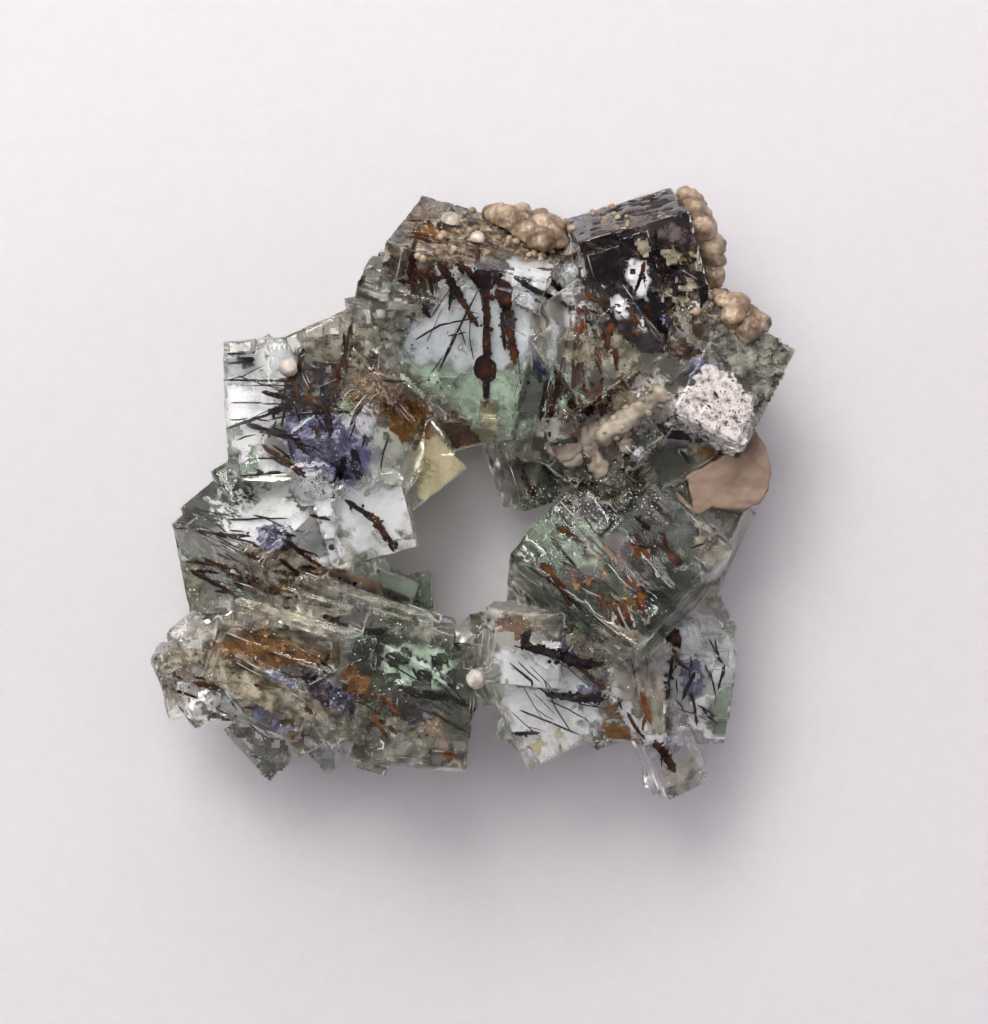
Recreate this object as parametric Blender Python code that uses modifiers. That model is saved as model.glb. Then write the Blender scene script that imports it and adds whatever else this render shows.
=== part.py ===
"""A small fluorite specimen: a ring of intergrown cubes with a crust, beads and a flat calcite chip.

Run it with blender --background --python part.py, or from Blender's text editor.
Every place and size in the tables is in millimetres. +Z is up, and +Y is the side of the arch.
The ring lies flat on the plane z = 0, with the middle of its box at x = y = 0.
"""

import math

import bmesh
import bpy
from mathutils import Euler, Matrix, Vector

MM = 0.001
PIECE_GAP = 0.2
RIDGE_SIDES = 6
BEAD_DETAIL = 2
STALK_SIDES = 10
GROUND_WIDTH = 120.0
GROUND_DEPTH = 30.0
PIT_TURN = (0, 0, 12)
# The middle of the finished box in the tables' axes. The specimen is placed with it over the origin.
BOX_CENTRE = (-0.217, 0.288)

# Each fluorite cube: its middle, its edges along its own axes, and its turn about X, Y and Z in degrees.
CUBES = {
    "arch": ((-0.5, 11.35, 7.2), (9.9, 9.9, 9.9), (26, -5, -16)),
    "arch_step": ((-4.05, 10.65, 8.5), (6.0, 6.0, 6.0), (26, -5, -16)),
    "dark": ((10.2, 14.0, 8.8), (6.9, 6.9, 6.9), (20, 0, 17)),
    "crown": ((7.0, 9.1, 9.8), (6.5, 6.5, 6.5), (-5, 8, 35)),
    "east": ((14.6, 7.3, 8.4), (7.0, 7.0, 7.0), (-4, 3, -28)),
    "east_low": ((13.6, -2.2, 3.9), (6.0, 6.0, 6.0), (0, -12, -25)),
    "shoulder": ((7.6, 4.6, 8.5), (6.0, 6.0, 6.0), (12, -15, -20)),
    "saddle": ((11.6, 4.0, 7.0), (5.5, 5.5, 5.5), (5, 5, 30)),
    "inner_chip": ((3.6, 2.0, 6.0), (4.0, 4.6, 4.8), (10, 15, 20)),
    "heart": ((8.9, -4.7, 7.9), (9.9, 9.2, 8.4), (-20, -14, -38)),
    "southeast_link": ((12.7, -7.0, 6.0), (4.6, 5.0, 5.0), (10, 10, 28)),
    "southeast": ((13.3, -11.3, 6.5), (5.2, 6.0, 5.8), (23, 0, -6)),
    "spur": ((12.2, -16.2, 7.0), (3.0, 3.7, 3.8), (10, 10, 25)),
    "stem": ((10.0, -11.6, 8.5), (3.5, 6.0, 5.0), (5, 0, -5)),
    "white": ((5.2, -12.4, 7.5), (6.5, 6.3, 6.5), (-5, -5, 28)),
    "white_back": ((3.2, -9.0, 9.0), (4.8, 4.5, 4.5), (5, -8, -5)),
    "closure": ((0.1, -10.0, 6.5), (3.5, 3.5, 3.5), (20, 10, 40)),
    "south": ((-3.7, -12.7, 8.3), (7.0, 7.6, 6.6), (-8, 4, -6)),
    "south_back": ((-4.3, -9.3, 9.0), (5.5, 4.5, 5.0), (10, 5, -17)),
    "violet": ((-8.0, -11.9, 9.5), (4.5, 4.5, 4.5), (20, 10, 26)),
    "south_tooth": ((-9.0, -15.6, 4.5), (2.6, 2.6, 2.6), (0, 0, 40)),
    "south_point": ((-12.4, -14.6, 5.5), (4.3, 4.3, 4.5), (0, 0, 42)),
    "southwest": ((-12.3, -10.6, 7.5), (6.6, 5.6, 7.0), (12, -8, -20)),
    "knob": ((-16.9, -11.0, 8.0), (3.7, 3.7, 3.7), (25, 20, 35)),
    "low_green": ((-4.5, -6.9, 3.0), (4.0, 4.0, 4.2), (0, 0, 8)),
    "west_flank": ((-14.2, -4.4, 5.2), (6.4, 6.0, 6.0), (-20, -12, 18)),
    "west_lower": ((-12.7, -3.6, 7.0), (7.8, 6.8, 8.4), (-38, -36, -22)),
    "clear_inner": ((-6.5, -1.3, 9.6), (5.3, 4.9, 5.0), (0, 0, 14)),
    "west_peak": ((-7.2, 3.6, 9.0), (6.5, 6.5, 6.5), (36, 29, 55)),
    "honey": ((-4.5, 3.6, 6.8), (8.0, 4.2, 5.0), (0, 0, -52)),
    "ledge": ((-0.5, 5.7, 3.4), (5.0, 5.0, 5.0), (0, 0, 15)),
    "northwest_step": ((-8.0, 8.5, 9.2), (5.0, 5.0, 5.0), (4, 0, 24)),
    "west": ((-10.85, 5.0, 7.4), (8.3, 8.3, 8.0), (-8, 2, 3)),
    "foot_arch": ((-0.6, 9.6, 2.4), (7.4, 6.2, 6.4), (0, 0, -24)),
    "foot_dark": ((9.4, 10.6, 2.6), (6.6, 6.6, 6.4), (0, 0, 22)),
    "foot_east": ((13.2, 4.6, 2.4), (5.4, 6.0, 6.2), (0, 0, -12)),
    "foot_heart": ((9.4, -4.6, 2.6), (7.0, 6.4, 6.8), (0, 0, -31)),
    "foot_white": ((6.4, -11.6, 2.6), (6.2, 5.4, 6.6), (0, 0, 12)),
    "foot_south": ((-4.6, -11.6, 2.6), (6.8, 5.8, 6.8), (0, 0, -14)),
    "foot_southwest": ((-11.8, -10.4, 2.6), (5.6, 5.0, 6.4), (0, 0, 27)),
    "foot_west": ((-9.4, -2.2, 2.4), (6.4, 6.0, 6.4), (0, 0, 9)),
    "foot_northwest": ((-8.4, 5.4, 2.6), (6.6, 6.4, 6.4), (0, 0, -20)),
}

# Growth steps: a flat block in the axes of the cube that carries it, standing a little out of its face.
LEDGES = (
    ("west", (1.3, 1.6, 3.92), (5.2, 4.4, 0.4)),
    ("arch", (1.9, -1.2, 4.86), (5.6, 6.8, 0.4)),
    ("arch", (-1.4, 4.87, -0.6), (5.2, 0.4, 5.0)),
    ("dark", (-1.2, 1.1, 3.36), (3.8, 3.9, 0.4)),
    ("dark", (3.36, 0.4, -0.4), (0.4, 4.2, 4.0)),
    ("east", (0.9, -1.0, 3.42), (4.6, 4.6, 0.4)),
    ("east_low", (0.9, 0.2, 2.92), (3.4, 3.8, 0.4)),
    ("heart", (1.6, 1.4, 4.12), (6.0, 5.6, 0.4)),
    ("heart", (0.4, -4.5, 0.8), (7.0, 0.5, 3.4)),
    ("crown", (1.1, -1.2, 3.16), (3.8, 3.6, 0.4)),
    ("white", (-0.9, -0.8, 3.16), (4.2, 4.2, 0.4)),
    ("white", (-3.2, -0.4, 0.4), (0.4, 3.6, 3.4)),
    ("southeast", (0.6, 0.9, 2.82), (3.6, 3.6, 0.4)),
    ("south", (1.1, -1.2, 3.22), (4.4, 4.6, 0.4)),
    ("south", (-0.6, -3.72, 0.6), (4.6, 0.4, 3.4)),
    ("southwest", (-0.6, -0.7, 3.42), (4.4, 3.6, 0.4)),
    ("west_lower", (1.4, -0.8, 4.12), (4.4, 4.4, 0.4)),
    ("west_lower", (-3.82, 0.5, 0.9), (0.4, 4.2, 4.6)),
    ("northwest_step", (-0.6, 0.6, 2.42), (3.4, 3.4, 0.4)),
    ("west_peak", (0.8, 0.7, 3.17), (4.2, 4.2, 0.4)),
    ("west_peak", (0.3, -3.17, 0.4), (3.6, 0.4, 3.4)),
)

# Missing corners: a cube, the corner of its upper face by its two signs, and how far the step goes in and down.
NOTCHES = (
    ("arch", (-1, 1), (1.1, 3.1, 0.3)),
    ("arch", (1, 1), (3.2, 0.9, 0.35)),
    ("dark", (1, -1), (1.3, 2.0, 0.5)),
    ("dark", (-1, 1), (2.3, 0.8, 0.3)),
    ("crown", (-1, 1), (1.6, 1.2, 0.4)),
    ("east", (1, 1), (1.2, 1.7, 0.5)),
    ("east", (1, -1), (0.7, 3.0, 0.3)),
    ("east", (-1, 1), (2.1, 0.8, 0.35)),
    ("heart", (-1, -1), (1.5, 1.0, 0.4)),
    ("heart", (1, 1), (1.2, 2.4, 0.5)),
    ("heart", (-1, 1), (3.0, 0.8, 0.35)),
    ("white", (1, -1), (2.2, 0.7, 0.4)),
    ("white", (-1, -1), (0.8, 1.4, 0.3)),
    ("white_back", (-1, 1), (1.3, 1.0, 0.5)),
    ("southeast", (1, -1), (0.9, 1.9, 0.4)),
    ("southeast", (1, 1), (1.5, 0.7, 0.35)),
    ("spur", (1, -1), (0.7, 0.9, 0.4)),
    ("south", (1, -1), (2.4, 0.9, 0.45)),
    ("south", (1, 1), (0.8, 1.6, 0.4)),
    ("south", (-1, -1), (1.2, 0.7, 0.4)),
    ("southwest", (-1, -1), (1.4, 1.2, 0.5)),
    ("knob", (-1, 1), (1.0, 0.8, 0.5)),
    ("west_lower", (-1, -1), (1.6, 1.0, 0.5)),
    ("west_lower", (1, -1), (0.9, 2.2, 0.35)),
    ("clear_inner", (1, -1), (1.3, 0.8, 0.4)),
    ("clear_inner", (-1, -1), (0.6, 1.7, 0.3)),
    ("honey", (1, -1), (1.4, 0.8, 0.4)),
    ("west", (-1, 1), (2.0, 0.8, 0.35)),
    ("west", (-1, -1), (0.8, 1.3, 0.3)),
    ("northwest_step", (-1, 1), (0.9, 1.3, 0.4)),
    ("west_peak", (1, 1), (1.1, 0.8, 0.4)),
)

# Small intergrown crystals: middle, edge and turn. They roughen the seams between the large cubes.
SMALL_CRYSTALS = (
    ((-5.6, 13.2, 8.6), 2.2, (26, -5, -16)),
    ((-6.7, 11.3, 7.6), 2.0, (20, 8, 12)),
    ((3.9, 13.0, 6.4), 2.6, (18, -6, 8)),
    ((6.0, 13.2, 8.2), 2.4, (24, 4, 31)),
    ((13.9, 11.2, 9.4), 2.6, (14, 6, -8)),
    ((12.9, 10.4, 11.2), 2.2, (8, -12, 24)),
    ((11.6, 8.0, 11.6), 2.0, (6, 14, 52)),
    ((9.8, 3.4, 11.2), 2.2, (-12, 16, 40)),
    ((5.4, 4.2, 12.0), 1.8, (22, -18, 8)),
    ((6.0, 2.2, 10.4), 2.0, (14, 10, -35)),
    ((3.6, 3.9, 7.8), 2.2, (18, 22, 12)),
    ((12.4, -0.4, 7.6), 2.6, (10, -18, 12)),
    ((14.0, -4.6, 6.8), 2.6, (6, 4, -20)),
    ((12.2, -1.6, 6.6), 1.8, (10, 6, 10)),
    ((12.9, -8.7, 8.6), 2.2, (24, -8, 16)),
    ((7.3, -9.0, 9.8), 2.8, (14, 12, -30)),
    ((5.9, -8.3, 8.1), 2.4, (4, 6, 20)),
    ((1.6, -11.4, 8.6), 2.2, (-10, 24, 14)),
    ((0.6, -8.2, 7.0), 1.6, (30, 12, 6)),
    ((3.0, -14.3, 6.2), 2.2, (12, -14, 48)),
    ((8.0, -14.2, 7.4), 2.0, (16, 8, 20)),
    ((11.6, -17.4, 6.0), 1.6, (20, 24, 10)),
    ((-0.9, -12.2, 10.2), 1.8, (18, -10, 26)),
    ((-6.2, -15.6, 8.0), 2.2, (10, 14, -18)),
    ((-7.2, -9.4, 11.0), 2.2, (16, 18, 4)),
    ((-10.3, -13.8, 8.0), 2.6, (22, -12, 30)),
    ((-14.6, -12.4, 8.0), 2.4, (14, 20, -10)),
    ((-18.3, -11.9, 7.2), 1.8, (30, 8, 20)),
    ((-16.0, -8.9, 8.4), 2.0, (12, -22, 34)),
    ((-13.4, -7.6, 9.6), 2.4, (26, 10, -6)),
    ((-9.2, -6.0, 9.6), 2.8, (14, -16, 22)),
    ((-6.4, -5.2, 8.0), 2.6, (8, 20, 38)),
    ((-14.4, 0.8, 8.0), 2.4, (-20, 14, 32)),
    ((-18.2, -10.1, 8.2), 2.2, (16, -14, 20)),
    ((-17.2, -8.7, 8.6), 2.2, (-12, 18, 40)),
    ((-18.0, -12.2, 7.2), 2.2, (24, 12, 8)),
    ((-16.6, -12.6, 7.8), 2.2, (10, -20, 32)),
    ((-7.4, -4.6, 8.6), 3.4, (10, -8, 16)),
    ((-5.2, -6.0, 8.4), 2.8, (4, 12, -20)),
    ((8.0, -10.8, 7.4), 3.6, (5, 10, 20)),
    ((10.4, 6.9, 9.1), 5.0, (5, 8, -30)),
    ((-9.6, 0.9, 11.0), 2.2, (30, 18, 8)),
    ((-12.6, 8.6, 9.8), 1.8, (6, -14, 40)),
    ((-5.4, 6.6, 10.6), 2.2, (24, 6, -28)),
    ((-3.2, 1.4, 8.4), 1.8, (10, 12, -30)),
    ((-2.9, 6.5, 9.2), 2.6, (32, -12, 20)),
)

# Six-sided casts of lost needles: both ends and the width. They stand on the faces as parallel ridges.
RIDGES = (
    ((-14.9, -4.6, 10.4), (-7.2, -6.9, 10.9), 0.9),
    ((-10.6, -4.9, 11.0), (-2.0, -7.6, 10.8), 1.0),
    ((-14.6, -6.4, 10.4), (-6.6, -8.6, 11.5), 1.1),
    ((-6.2, -6.6, 10.4), (-0.6, -9.9, 9.6), 0.9),
    ((-17.8, -9.4, 9.2), (-8.4, -13.9, 10.9), 1.1),
    ((-14.6, -9.4, 11.0), (-8.0, -13.0, 11.8), 0.8),
    ((-15.4, -8.0, 10.4), (-7.4, -11.2, 11.9), 0.9),
    ((-7.6, -7.8, 11.3), (-1.2, -11.2, 11.6), 0.8),
    ((-8.0, -13.9, 10.2), (-1.4, -15.0, 11.3), 0.8),
    ((5.9, 11.6, 12.6), (4.5, 5.0, 12.4), 0.7),
    ((6.2, 11.4, 12.9), (5.4, 4.4, 12.2), 0.8),
    ((6.5, 11.4, 13.0), (7.4, 5.4, 12.9), 0.7),
    ((6.9, 11.0, 12.9), (9.0, 6.4, 12.3), 0.8),
    ((8.4, -8.6, 10.2), (10.0, -14.5, 10.4), 0.8),
    ((9.3, -8.2, 10.8), (10.7, -14.9, 10.6), 0.9),
    ((10.3, -8.2, 10.9), (11.4, -15.2, 10.0), 0.9),
    ((11.4, -8.6, 10.2), (11.2, -15.2, 9.6), 0.8),
    ((2.2, -6.9, 10.6), (1.8, -12.6, 9.6), 0.7),
    ((-4.4, 7.4, 11.4), (-1.4, 4.6, 10.4), 0.5),
    ((-7.2, 8.8, 11.8), (-3.4, 4.4, 10.6), 0.5),
    ((-9.7, 1.6, 11.0), (-5.2, -2.8, 12.0), 0.6),
)

# The same ridges where they follow a cube's face: the cube, both ends in that cube's axes, and the width.
FACE_RIDGES = (
    ("heart", (-4.3, -4.6, 3.2), (4.6, -4.6, 3.0), 0.8),
    ("heart", (-4.6, -4.6, 2.1), (4.4, -4.6, 1.8), 0.9),
    ("heart", (-4.4, -4.6, 0.9), (4.6, -4.6, 0.5), 0.8),
    ("heart", (-4.6, -4.6, -0.4), (3.8, -4.6, -0.8), 0.9),
    ("heart", (-4.6, -0.2, 4.1), (2.8, -1.6, 4.1), 0.8),
    ("heart", (-3.4, 1.6, 4.1), (4.2, -0.2, 4.1), 0.6),
)

# Etch pits: a small block in the axes of a cube, cut out of one of its faces.
PITS = (
    ("arch", (3.4, -3.6, 5.1), (1.2, 1.0, 0.6)),
    ("arch", (0.6, -2.6, 5.1), (0.9, 0.7, 0.5)),
    ("west", (-3.0, -3.0, 4.05), (0.9, 0.7, 0.5)),
    ("west", (-2.9, 1.4, 4.05), (0.6, 0.9, 0.4)),
    ("east", (2.2, 1.6, 3.7), (1.1, 0.9, 0.5)),
    ("east", (-0.4, -2.4, 3.7), (0.8, 0.6, 0.4)),
    ("heart", (3.4, -2.4, 4.4), (1.1, 0.9, 0.6)),
    ("heart", (-3.4, -1.8, 4.25), (0.9, 1.0, 0.5)),
    ("white", (1.6, -2.0, 3.4), (0.9, 0.7, 0.4)),
    ("south", (-2.4, -2.6, 3.4), (1.0, 0.8, 0.5)),
    ("southeast", (1.5, -1.7, 3.0), (0.8, 0.8, 0.5)),
)

# Warts of the crust: the cube that they sit on, the place in that cube's axes, and the radius.
CRUSTS = {
    "crust_north": (
        "arch",
        (
            (0.2, 5.2, -3.6, 0.9),
            (1.1, 5.3, -3.2, 1.0),
            (2.1, 5.3, -3.4, 1.0),
            (3.0, 5.3, -2.9, 1.1),
            (3.9, 5.2, -2.4, 0.9),
            (1.5, 5.4, -4.4, 0.8),
            (2.6, 5.4, -4.3, 0.8),
            (3.7, 5.3, -3.8, 0.9),
            (2.4, 5.3, -2.1, 0.8),
            (3.4, 5.3, -1.4, 0.9),
        ),
    ),
    "crust_northeast": (
        "dark",
        (
            (3.9, 2.9, -0.4, 0.9),
            (4.1, 2.0, 0.3, 0.9),
            (4.2, 1.1, 0.0, 1.0),
            (4.3, 0.2, 0.6, 1.0),
            (4.2, -0.7, 0.3, 0.9),
            (4.0, -1.6, 0.7, 0.8),
            (4.0, 1.6, 1.3, 0.8),
            (4.1, 0.5, -0.9, 0.9),
            (3.9, 2.6, 0.9, 0.7),
        ),
    ),
    "crust_east": (
        "east",
        (
            (-1.9, 3.8, 2.6, 0.8),
            (-1.0, 3.9, 2.9, 0.9),
            (0.0, 3.8, 2.7, 0.8),
            (-0.9, 3.3, 3.6, 0.7),
            (0.3, 3.0, 3.7, 0.65),
            (-1.6, 3.9, 1.8, 0.8),
            (0.7, 3.9, 2.3, 0.7),
        ),
    ),
}
BEADS = {
    "bead_north": ("arch", (-2.2, 5.25, -0.7), 0.62),
    "bead_rim": ("arch", (-0.1, 5.4, 1.3), 0.45),
    "bead_west": ("west", (-0.2, 2.1, 4.75), 0.56),
    "bead_south": ("south", (3.5, 1.6, 3.6), 0.62),
}

STALK_ENDS = ((11.5, 6.3, 12.95), (7.4, 3.3, 12.35))
STALK_RADIUS = 0.66
STALK_TIP_RADIUS = 0.72

# The chip's outline, seen from above, and the two heights between which it lies.
CHIP_OUTLINE = (
    (12.0, 2.9),
    (12.2, 0.4),
    (12.7, -1.0),
    (13.5, -1.3),
    (14.6, -0.75),
    (16.5, -0.85),
    (17.6, -0.35),
    (18.1, 0.4),
    (18.2, 1.4),
    (17.9, 2.9),
    (17.3, 4.1),
    (15.0, 5.2),
)
CHIP_HEIGHTS = (6.6, 9.4)
CHIP_EDGE = 0.18

# Base colour, roughness and metallic value of each mineral.
FINISHES = {
    "fluorite": ((0.56, 0.64, 0.60), 0.06, 0.0),
    "calcite": ((0.42, 0.29, 0.21), 0.62, 0.0),
    "crust": ((0.40, 0.31, 0.22), 0.55, 0.0),
    "bead": ((0.44, 0.37, 0.28), 0.4, 0.0),
    "stalk": ((0.43, 0.35, 0.27), 0.35, 0.0),
}


def clear_scene():
    for old in list(bpy.data.objects):
        bpy.data.objects.remove(old, do_unlink=True)


def new_collection(name, shown):
    collection = bpy.data.collections.new(name)
    bpy.context.scene.collection.children.link(collection)
    collection.hide_render = not shown
    return collection


def mineral(name):
    colour, roughness, metallic = FINISHES[name]
    material = bpy.data.materials.new(name)
    material.use_nodes = True
    shader = material.node_tree.nodes["Principled BSDF"]
    shader.inputs["Base Color"].default_value = (*colour, 1.0)
    shader.inputs["Roughness"].default_value = roughness
    shader.inputs["Metallic"].default_value = metallic
    return material


def turn(degrees):
    return Euler([math.radians(angle) for angle in degrees], "XYZ").to_matrix().to_4x4()


def shift(point):
    return Matrix.Translation(Vector(point) * MM)


def pose(middle, degrees):
    return shift(middle) @ turn(degrees)


def cube_pose(name):
    middle, _, degrees = CUBES[name]
    return pose(middle, degrees)


def place_new(mesh, name, collection, placed):
    """Puts a mesh in the scene at this pose, under the specimen's own empty."""
    made = bpy.data.objects.new(name, mesh)
    made.matrix_basis = placed
    made.parent = bpy.data.objects["specimen"]
    collection.objects.link(made)
    if collection.hide_render:
        made.display_type = "WIRE"
    return made


def mesh_of(name, fill):
    work = bmesh.new()
    fill(work)
    mesh = bpy.data.meshes.new(name)
    work.to_mesh(mesh)
    work.free()
    return mesh


def box(name, collection, edges, placed):
    size = Matrix.Diagonal((*[edge * MM for edge in edges], 1.0))
    mesh = mesh_of(name, lambda work: bmesh.ops.create_cube(work, size=1.0, matrix=size))
    return place_new(mesh, name, collection, placed)


def ball(name, collection, radius, placed):
    mesh = mesh_of(
        name,
        lambda work: bmesh.ops.create_icosphere(work, subdivisions=BEAD_DETAIL, radius=radius * MM),
    )
    return place_new(mesh, name, collection, placed)


def rod(name, collection, ends, width, sides):
    """A prism between two points, with flat ends."""
    start, end = [Vector(point) * MM for point in ends]
    along = end - start

    def fill(work):
        bmesh.ops.create_cone(
            work,
            cap_ends=True,
            segments=sides,
            radius1=width * 0.5 * MM,
            radius2=width * 0.5 * MM,
            depth=along.length,
        )

    facing = along.to_track_quat("Z", "Y").to_matrix().to_4x4()
    return place_new(mesh_of(name, fill), name, collection, Matrix.Translation((start + end) * 0.5) @ facing)


def boolean(target, tool, operation):
    """Joins or cuts with an object, or with every object of a collection."""
    step = target.modifiers.new(operation.lower(), "BOOLEAN")
    step.operation = operation
    step.solver = "EXACT"
    if isinstance(tool, bpy.types.Collection):
        step.operand_type = "COLLECTION"
        step.collection = tool
    else:
        step.object = tool


def wider(edges, grow):
    return [edge + 2 * grow for edge in edges]


def grow_cubes(collection, grow):
    for name, (_, edges, _) in CUBES.items():
        box(f"{collection.name}_{name}", collection, wider(edges, grow), cube_pose(name))


def grow_ledges(collection, grow):
    for index, (host, middle, edges) in enumerate(LEDGES):
        box(f"{collection.name}_ledge_{index}", collection, wider(edges, grow), cube_pose(host) @ shift(middle))


def grow_small_crystals(collection, grow):
    for index, (middle, edge, degrees) in enumerate(SMALL_CRYSTALS):
        box(f"{collection.name}_small_{index}", collection, wider([edge] * 3, grow), pose(middle, degrees))


def grow_ridges(collection, grow):
    for index, (start, end, width) in enumerate(RIDGES):
        rod(f"{collection.name}_ridge_{index}", collection, (start, end), width + 2 * grow, RIDGE_SIDES)
    for index, (host, start, end, width) in enumerate(FACE_RIDGES):
        ends = [cube_pose(host) @ (Vector(point) * MM) / MM for point in (start, end)]
        rod(f"{collection.name}_face_ridge_{index}", collection, ends, width + 2 * grow, RIDGE_SIDES)


def grow_all(name, grow):
    """A hidden collection with every shape of the fluorite, each larger by grow on every side."""
    collection = new_collection(name, False)
    grow_cubes(collection, grow)
    grow_ledges(collection, grow)
    grow_small_crystals(collection, grow)
    grow_ridges(collection, grow)
    return collection


def cut_notches(collection):
    """A block round each missing corner, twice as large as the step that it leaves."""
    for index, (host, (sign_x, sign_y), (reach_x, reach_y, depth)) in enumerate(NOTCHES):
        _, (edge_x, edge_y, edge_z), _ = CUBES[host]
        corner = (sign_x * edge_x * 0.5, sign_y * edge_y * 0.5, edge_z * 0.5)
        edges = (2 * reach_x, 2 * reach_y, 2 * depth)
        box(f"notch_{index}", collection, edges, cube_pose(host) @ shift(corner))


def cut_pits(collection):
    for index, (host, middle, edges) in enumerate(PITS):
        box(f"pit_{index}", collection, edges, cube_pose(host) @ shift(middle) @ turn(PIT_TURN))


def ground_tool(collection):
    """Everything under the plane that the specimen stands on."""
    edges = (GROUND_WIDTH, GROUND_WIDTH, GROUND_DEPTH)
    return box("ground", collection, edges, shift((0.0, 0.0, -0.5 * GROUND_DEPTH)))


def fluorite_cluster(parts, growth, missing, ground):
    """All the fluorite as one solid: cubes, steps, small crystals and ridges, pitted and cut off flat."""
    cluster = box("fluorite_cluster", parts, CUBES["heart"][1], cube_pose("heart"))
    boolean(cluster, growth, "UNION")
    boolean(cluster, missing, "DIFFERENCE")
    boolean(cluster, ground, "DIFFERENCE")
    return cluster


def crust(name, patch, parts, clearance):
    """One patch of warts grown together, kept clear of the fluorite that it lies on."""
    host, warts = patch
    grains = new_collection(f"{name}_warts", False)
    for index, (*place, radius) in enumerate(warts):
        placed = cube_pose(host) @ shift(place) @ turn((17 * index, 29 * index, 0))
        if index == 0:
            patch_object = ball(name, parts, radius, placed)
        else:
            ball(f"{name}_wart_{index}", grains, radius, placed)
    boolean(patch_object, grains, "UNION")
    boolean(patch_object, clearance, "DIFFERENCE")
    return patch_object


def bead(name, parts, clearance):
    host, place, radius = BEADS[name]
    made = ball(name, parts, radius, cube_pose(host) @ shift(place))
    boolean(made, clearance, "DIFFERENCE")
    return made


def chalcedony_stalk(parts, tools, clearance):
    """A smooth rod that lies across the shoulder and ends in a round tip."""
    stalk = rod("chalcedony_stalk", parts, STALK_ENDS, 2 * STALK_RADIUS, STALK_SIDES)
    tip = ball("stalk_tip", tools, STALK_TIP_RADIUS, shift(STALK_ENDS[0]))
    boolean(stalk, tip, "UNION")
    boolean(stalk, clearance, "DIFFERENCE")
    return stalk


def calcite_chip(parts, clearance):
    """A flat plate with a broken outline, wedged under the eastern cube."""
    low, high = CHIP_HEIGHTS

    def fill(work):
        corners = [work.verts.new(Vector((x, y, 0.0)) * MM) for x, y in CHIP_OUTLINE]
        base = work.faces.new(corners)
        raised = bmesh.ops.extrude_face_region(work, geom=[base])
        tops = [item for item in raised["geom"] if isinstance(item, bmesh.types.BMVert)]
        bmesh.ops.translate(work, verts=tops, vec=Vector((0.0, 0.0, high - low)) * MM)
        bmesh.ops.recalc_face_normals(work, faces=work.faces)

    chip = place_new(mesh_of("calcite_chip", fill), "calcite_chip", parts, shift((0.0, 0.0, low)))
    edge = chip.modifiers.new("worn_edge", "BEVEL")
    edge.width = CHIP_EDGE * MM
    edge.segments = 2
    boolean(chip, clearance, "DIFFERENCE")
    return chip


def build():
    clear_scene()
    middle_x, middle_y = BOX_CENTRE
    specimen = bpy.data.objects.new("specimen", None)
    specimen.location = (-middle_x * MM, -middle_y * MM, 0.0)
    bpy.context.scene.collection.objects.link(specimen)
    parts = new_collection("fluorite_specimen", True)
    tools = new_collection("cutters", False)
    growth = grow_all("growth", 0.0)
    clearance = grow_all("clearance", PIECE_GAP)
    missing = new_collection("missing", False)
    cut_pits(missing)
    cut_notches(missing)
    pieces = {
        "fluorite": [fluorite_cluster(parts, growth, missing, ground_tool(tools))],
        "crust": [crust(name, patch, parts, clearance) for name, patch in CRUSTS.items()],
        "bead": [bead(name, parts, clearance) for name in BEADS],
        "stalk": [chalcedony_stalk(parts, tools, clearance)],
        "calcite": [calcite_chip(parts, clearance)],
    }
    for slot, made in pieces.items():
        material = mineral(slot)
        for piece in made:
            piece.data.materials.append(material)


build()
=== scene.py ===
"""Fluorite specimen: a ring of clear, grey-green fluorite cubes lying on pale paper. The crystals are glass
with needles, rust-coated rods, clouds and thin films of colour inside them. Tan crust and beads sit on the
north edge, and a chalcedony stalk and a flat chip of calcite on the east side."""

import math
import random

import bmesh
import bpy
from mathutils import Matrix, Vector, noise
from mathutils.bvhtree import BVHTree


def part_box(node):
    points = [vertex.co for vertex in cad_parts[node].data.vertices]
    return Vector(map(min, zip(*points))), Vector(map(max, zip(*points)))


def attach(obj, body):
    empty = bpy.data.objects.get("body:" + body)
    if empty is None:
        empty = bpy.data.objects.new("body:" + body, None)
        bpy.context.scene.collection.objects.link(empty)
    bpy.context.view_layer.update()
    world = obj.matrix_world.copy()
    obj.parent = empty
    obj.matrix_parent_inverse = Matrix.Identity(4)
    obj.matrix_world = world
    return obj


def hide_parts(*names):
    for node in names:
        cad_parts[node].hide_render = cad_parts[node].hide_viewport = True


MM = 0.001

# The view: straight down on the middle of the specimen. Lengths are in mm, image places in pixels.
EYE = Vector((1.507, -1.238, 158.0))
IMAGE_CENTRE = (494.0, 512.0)
IMAGE_TALL_SIDE = 1024
SENSOR = 36.0
FOCAL_PIXELS = 2437.5
PIXELS_PER_MM = 16.5

FLUORITE_IOR = 1.434
SKIN = 0.06           # the least glass over anything inside a crystal, in mm
THIN_SKIN = 0.03      # the same for films
GRAIN_SKIN = 0.05     # the same for the grains on threads
PAST_SURFACE = 0.01   # how far behind a surface the next ray starts, in mm
ROOM_SHARE = 0.6      # the most of the way to the crystal's far side that anything is sunk
WELD = 0.0005         # points nearer than this are one, in mm

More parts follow.
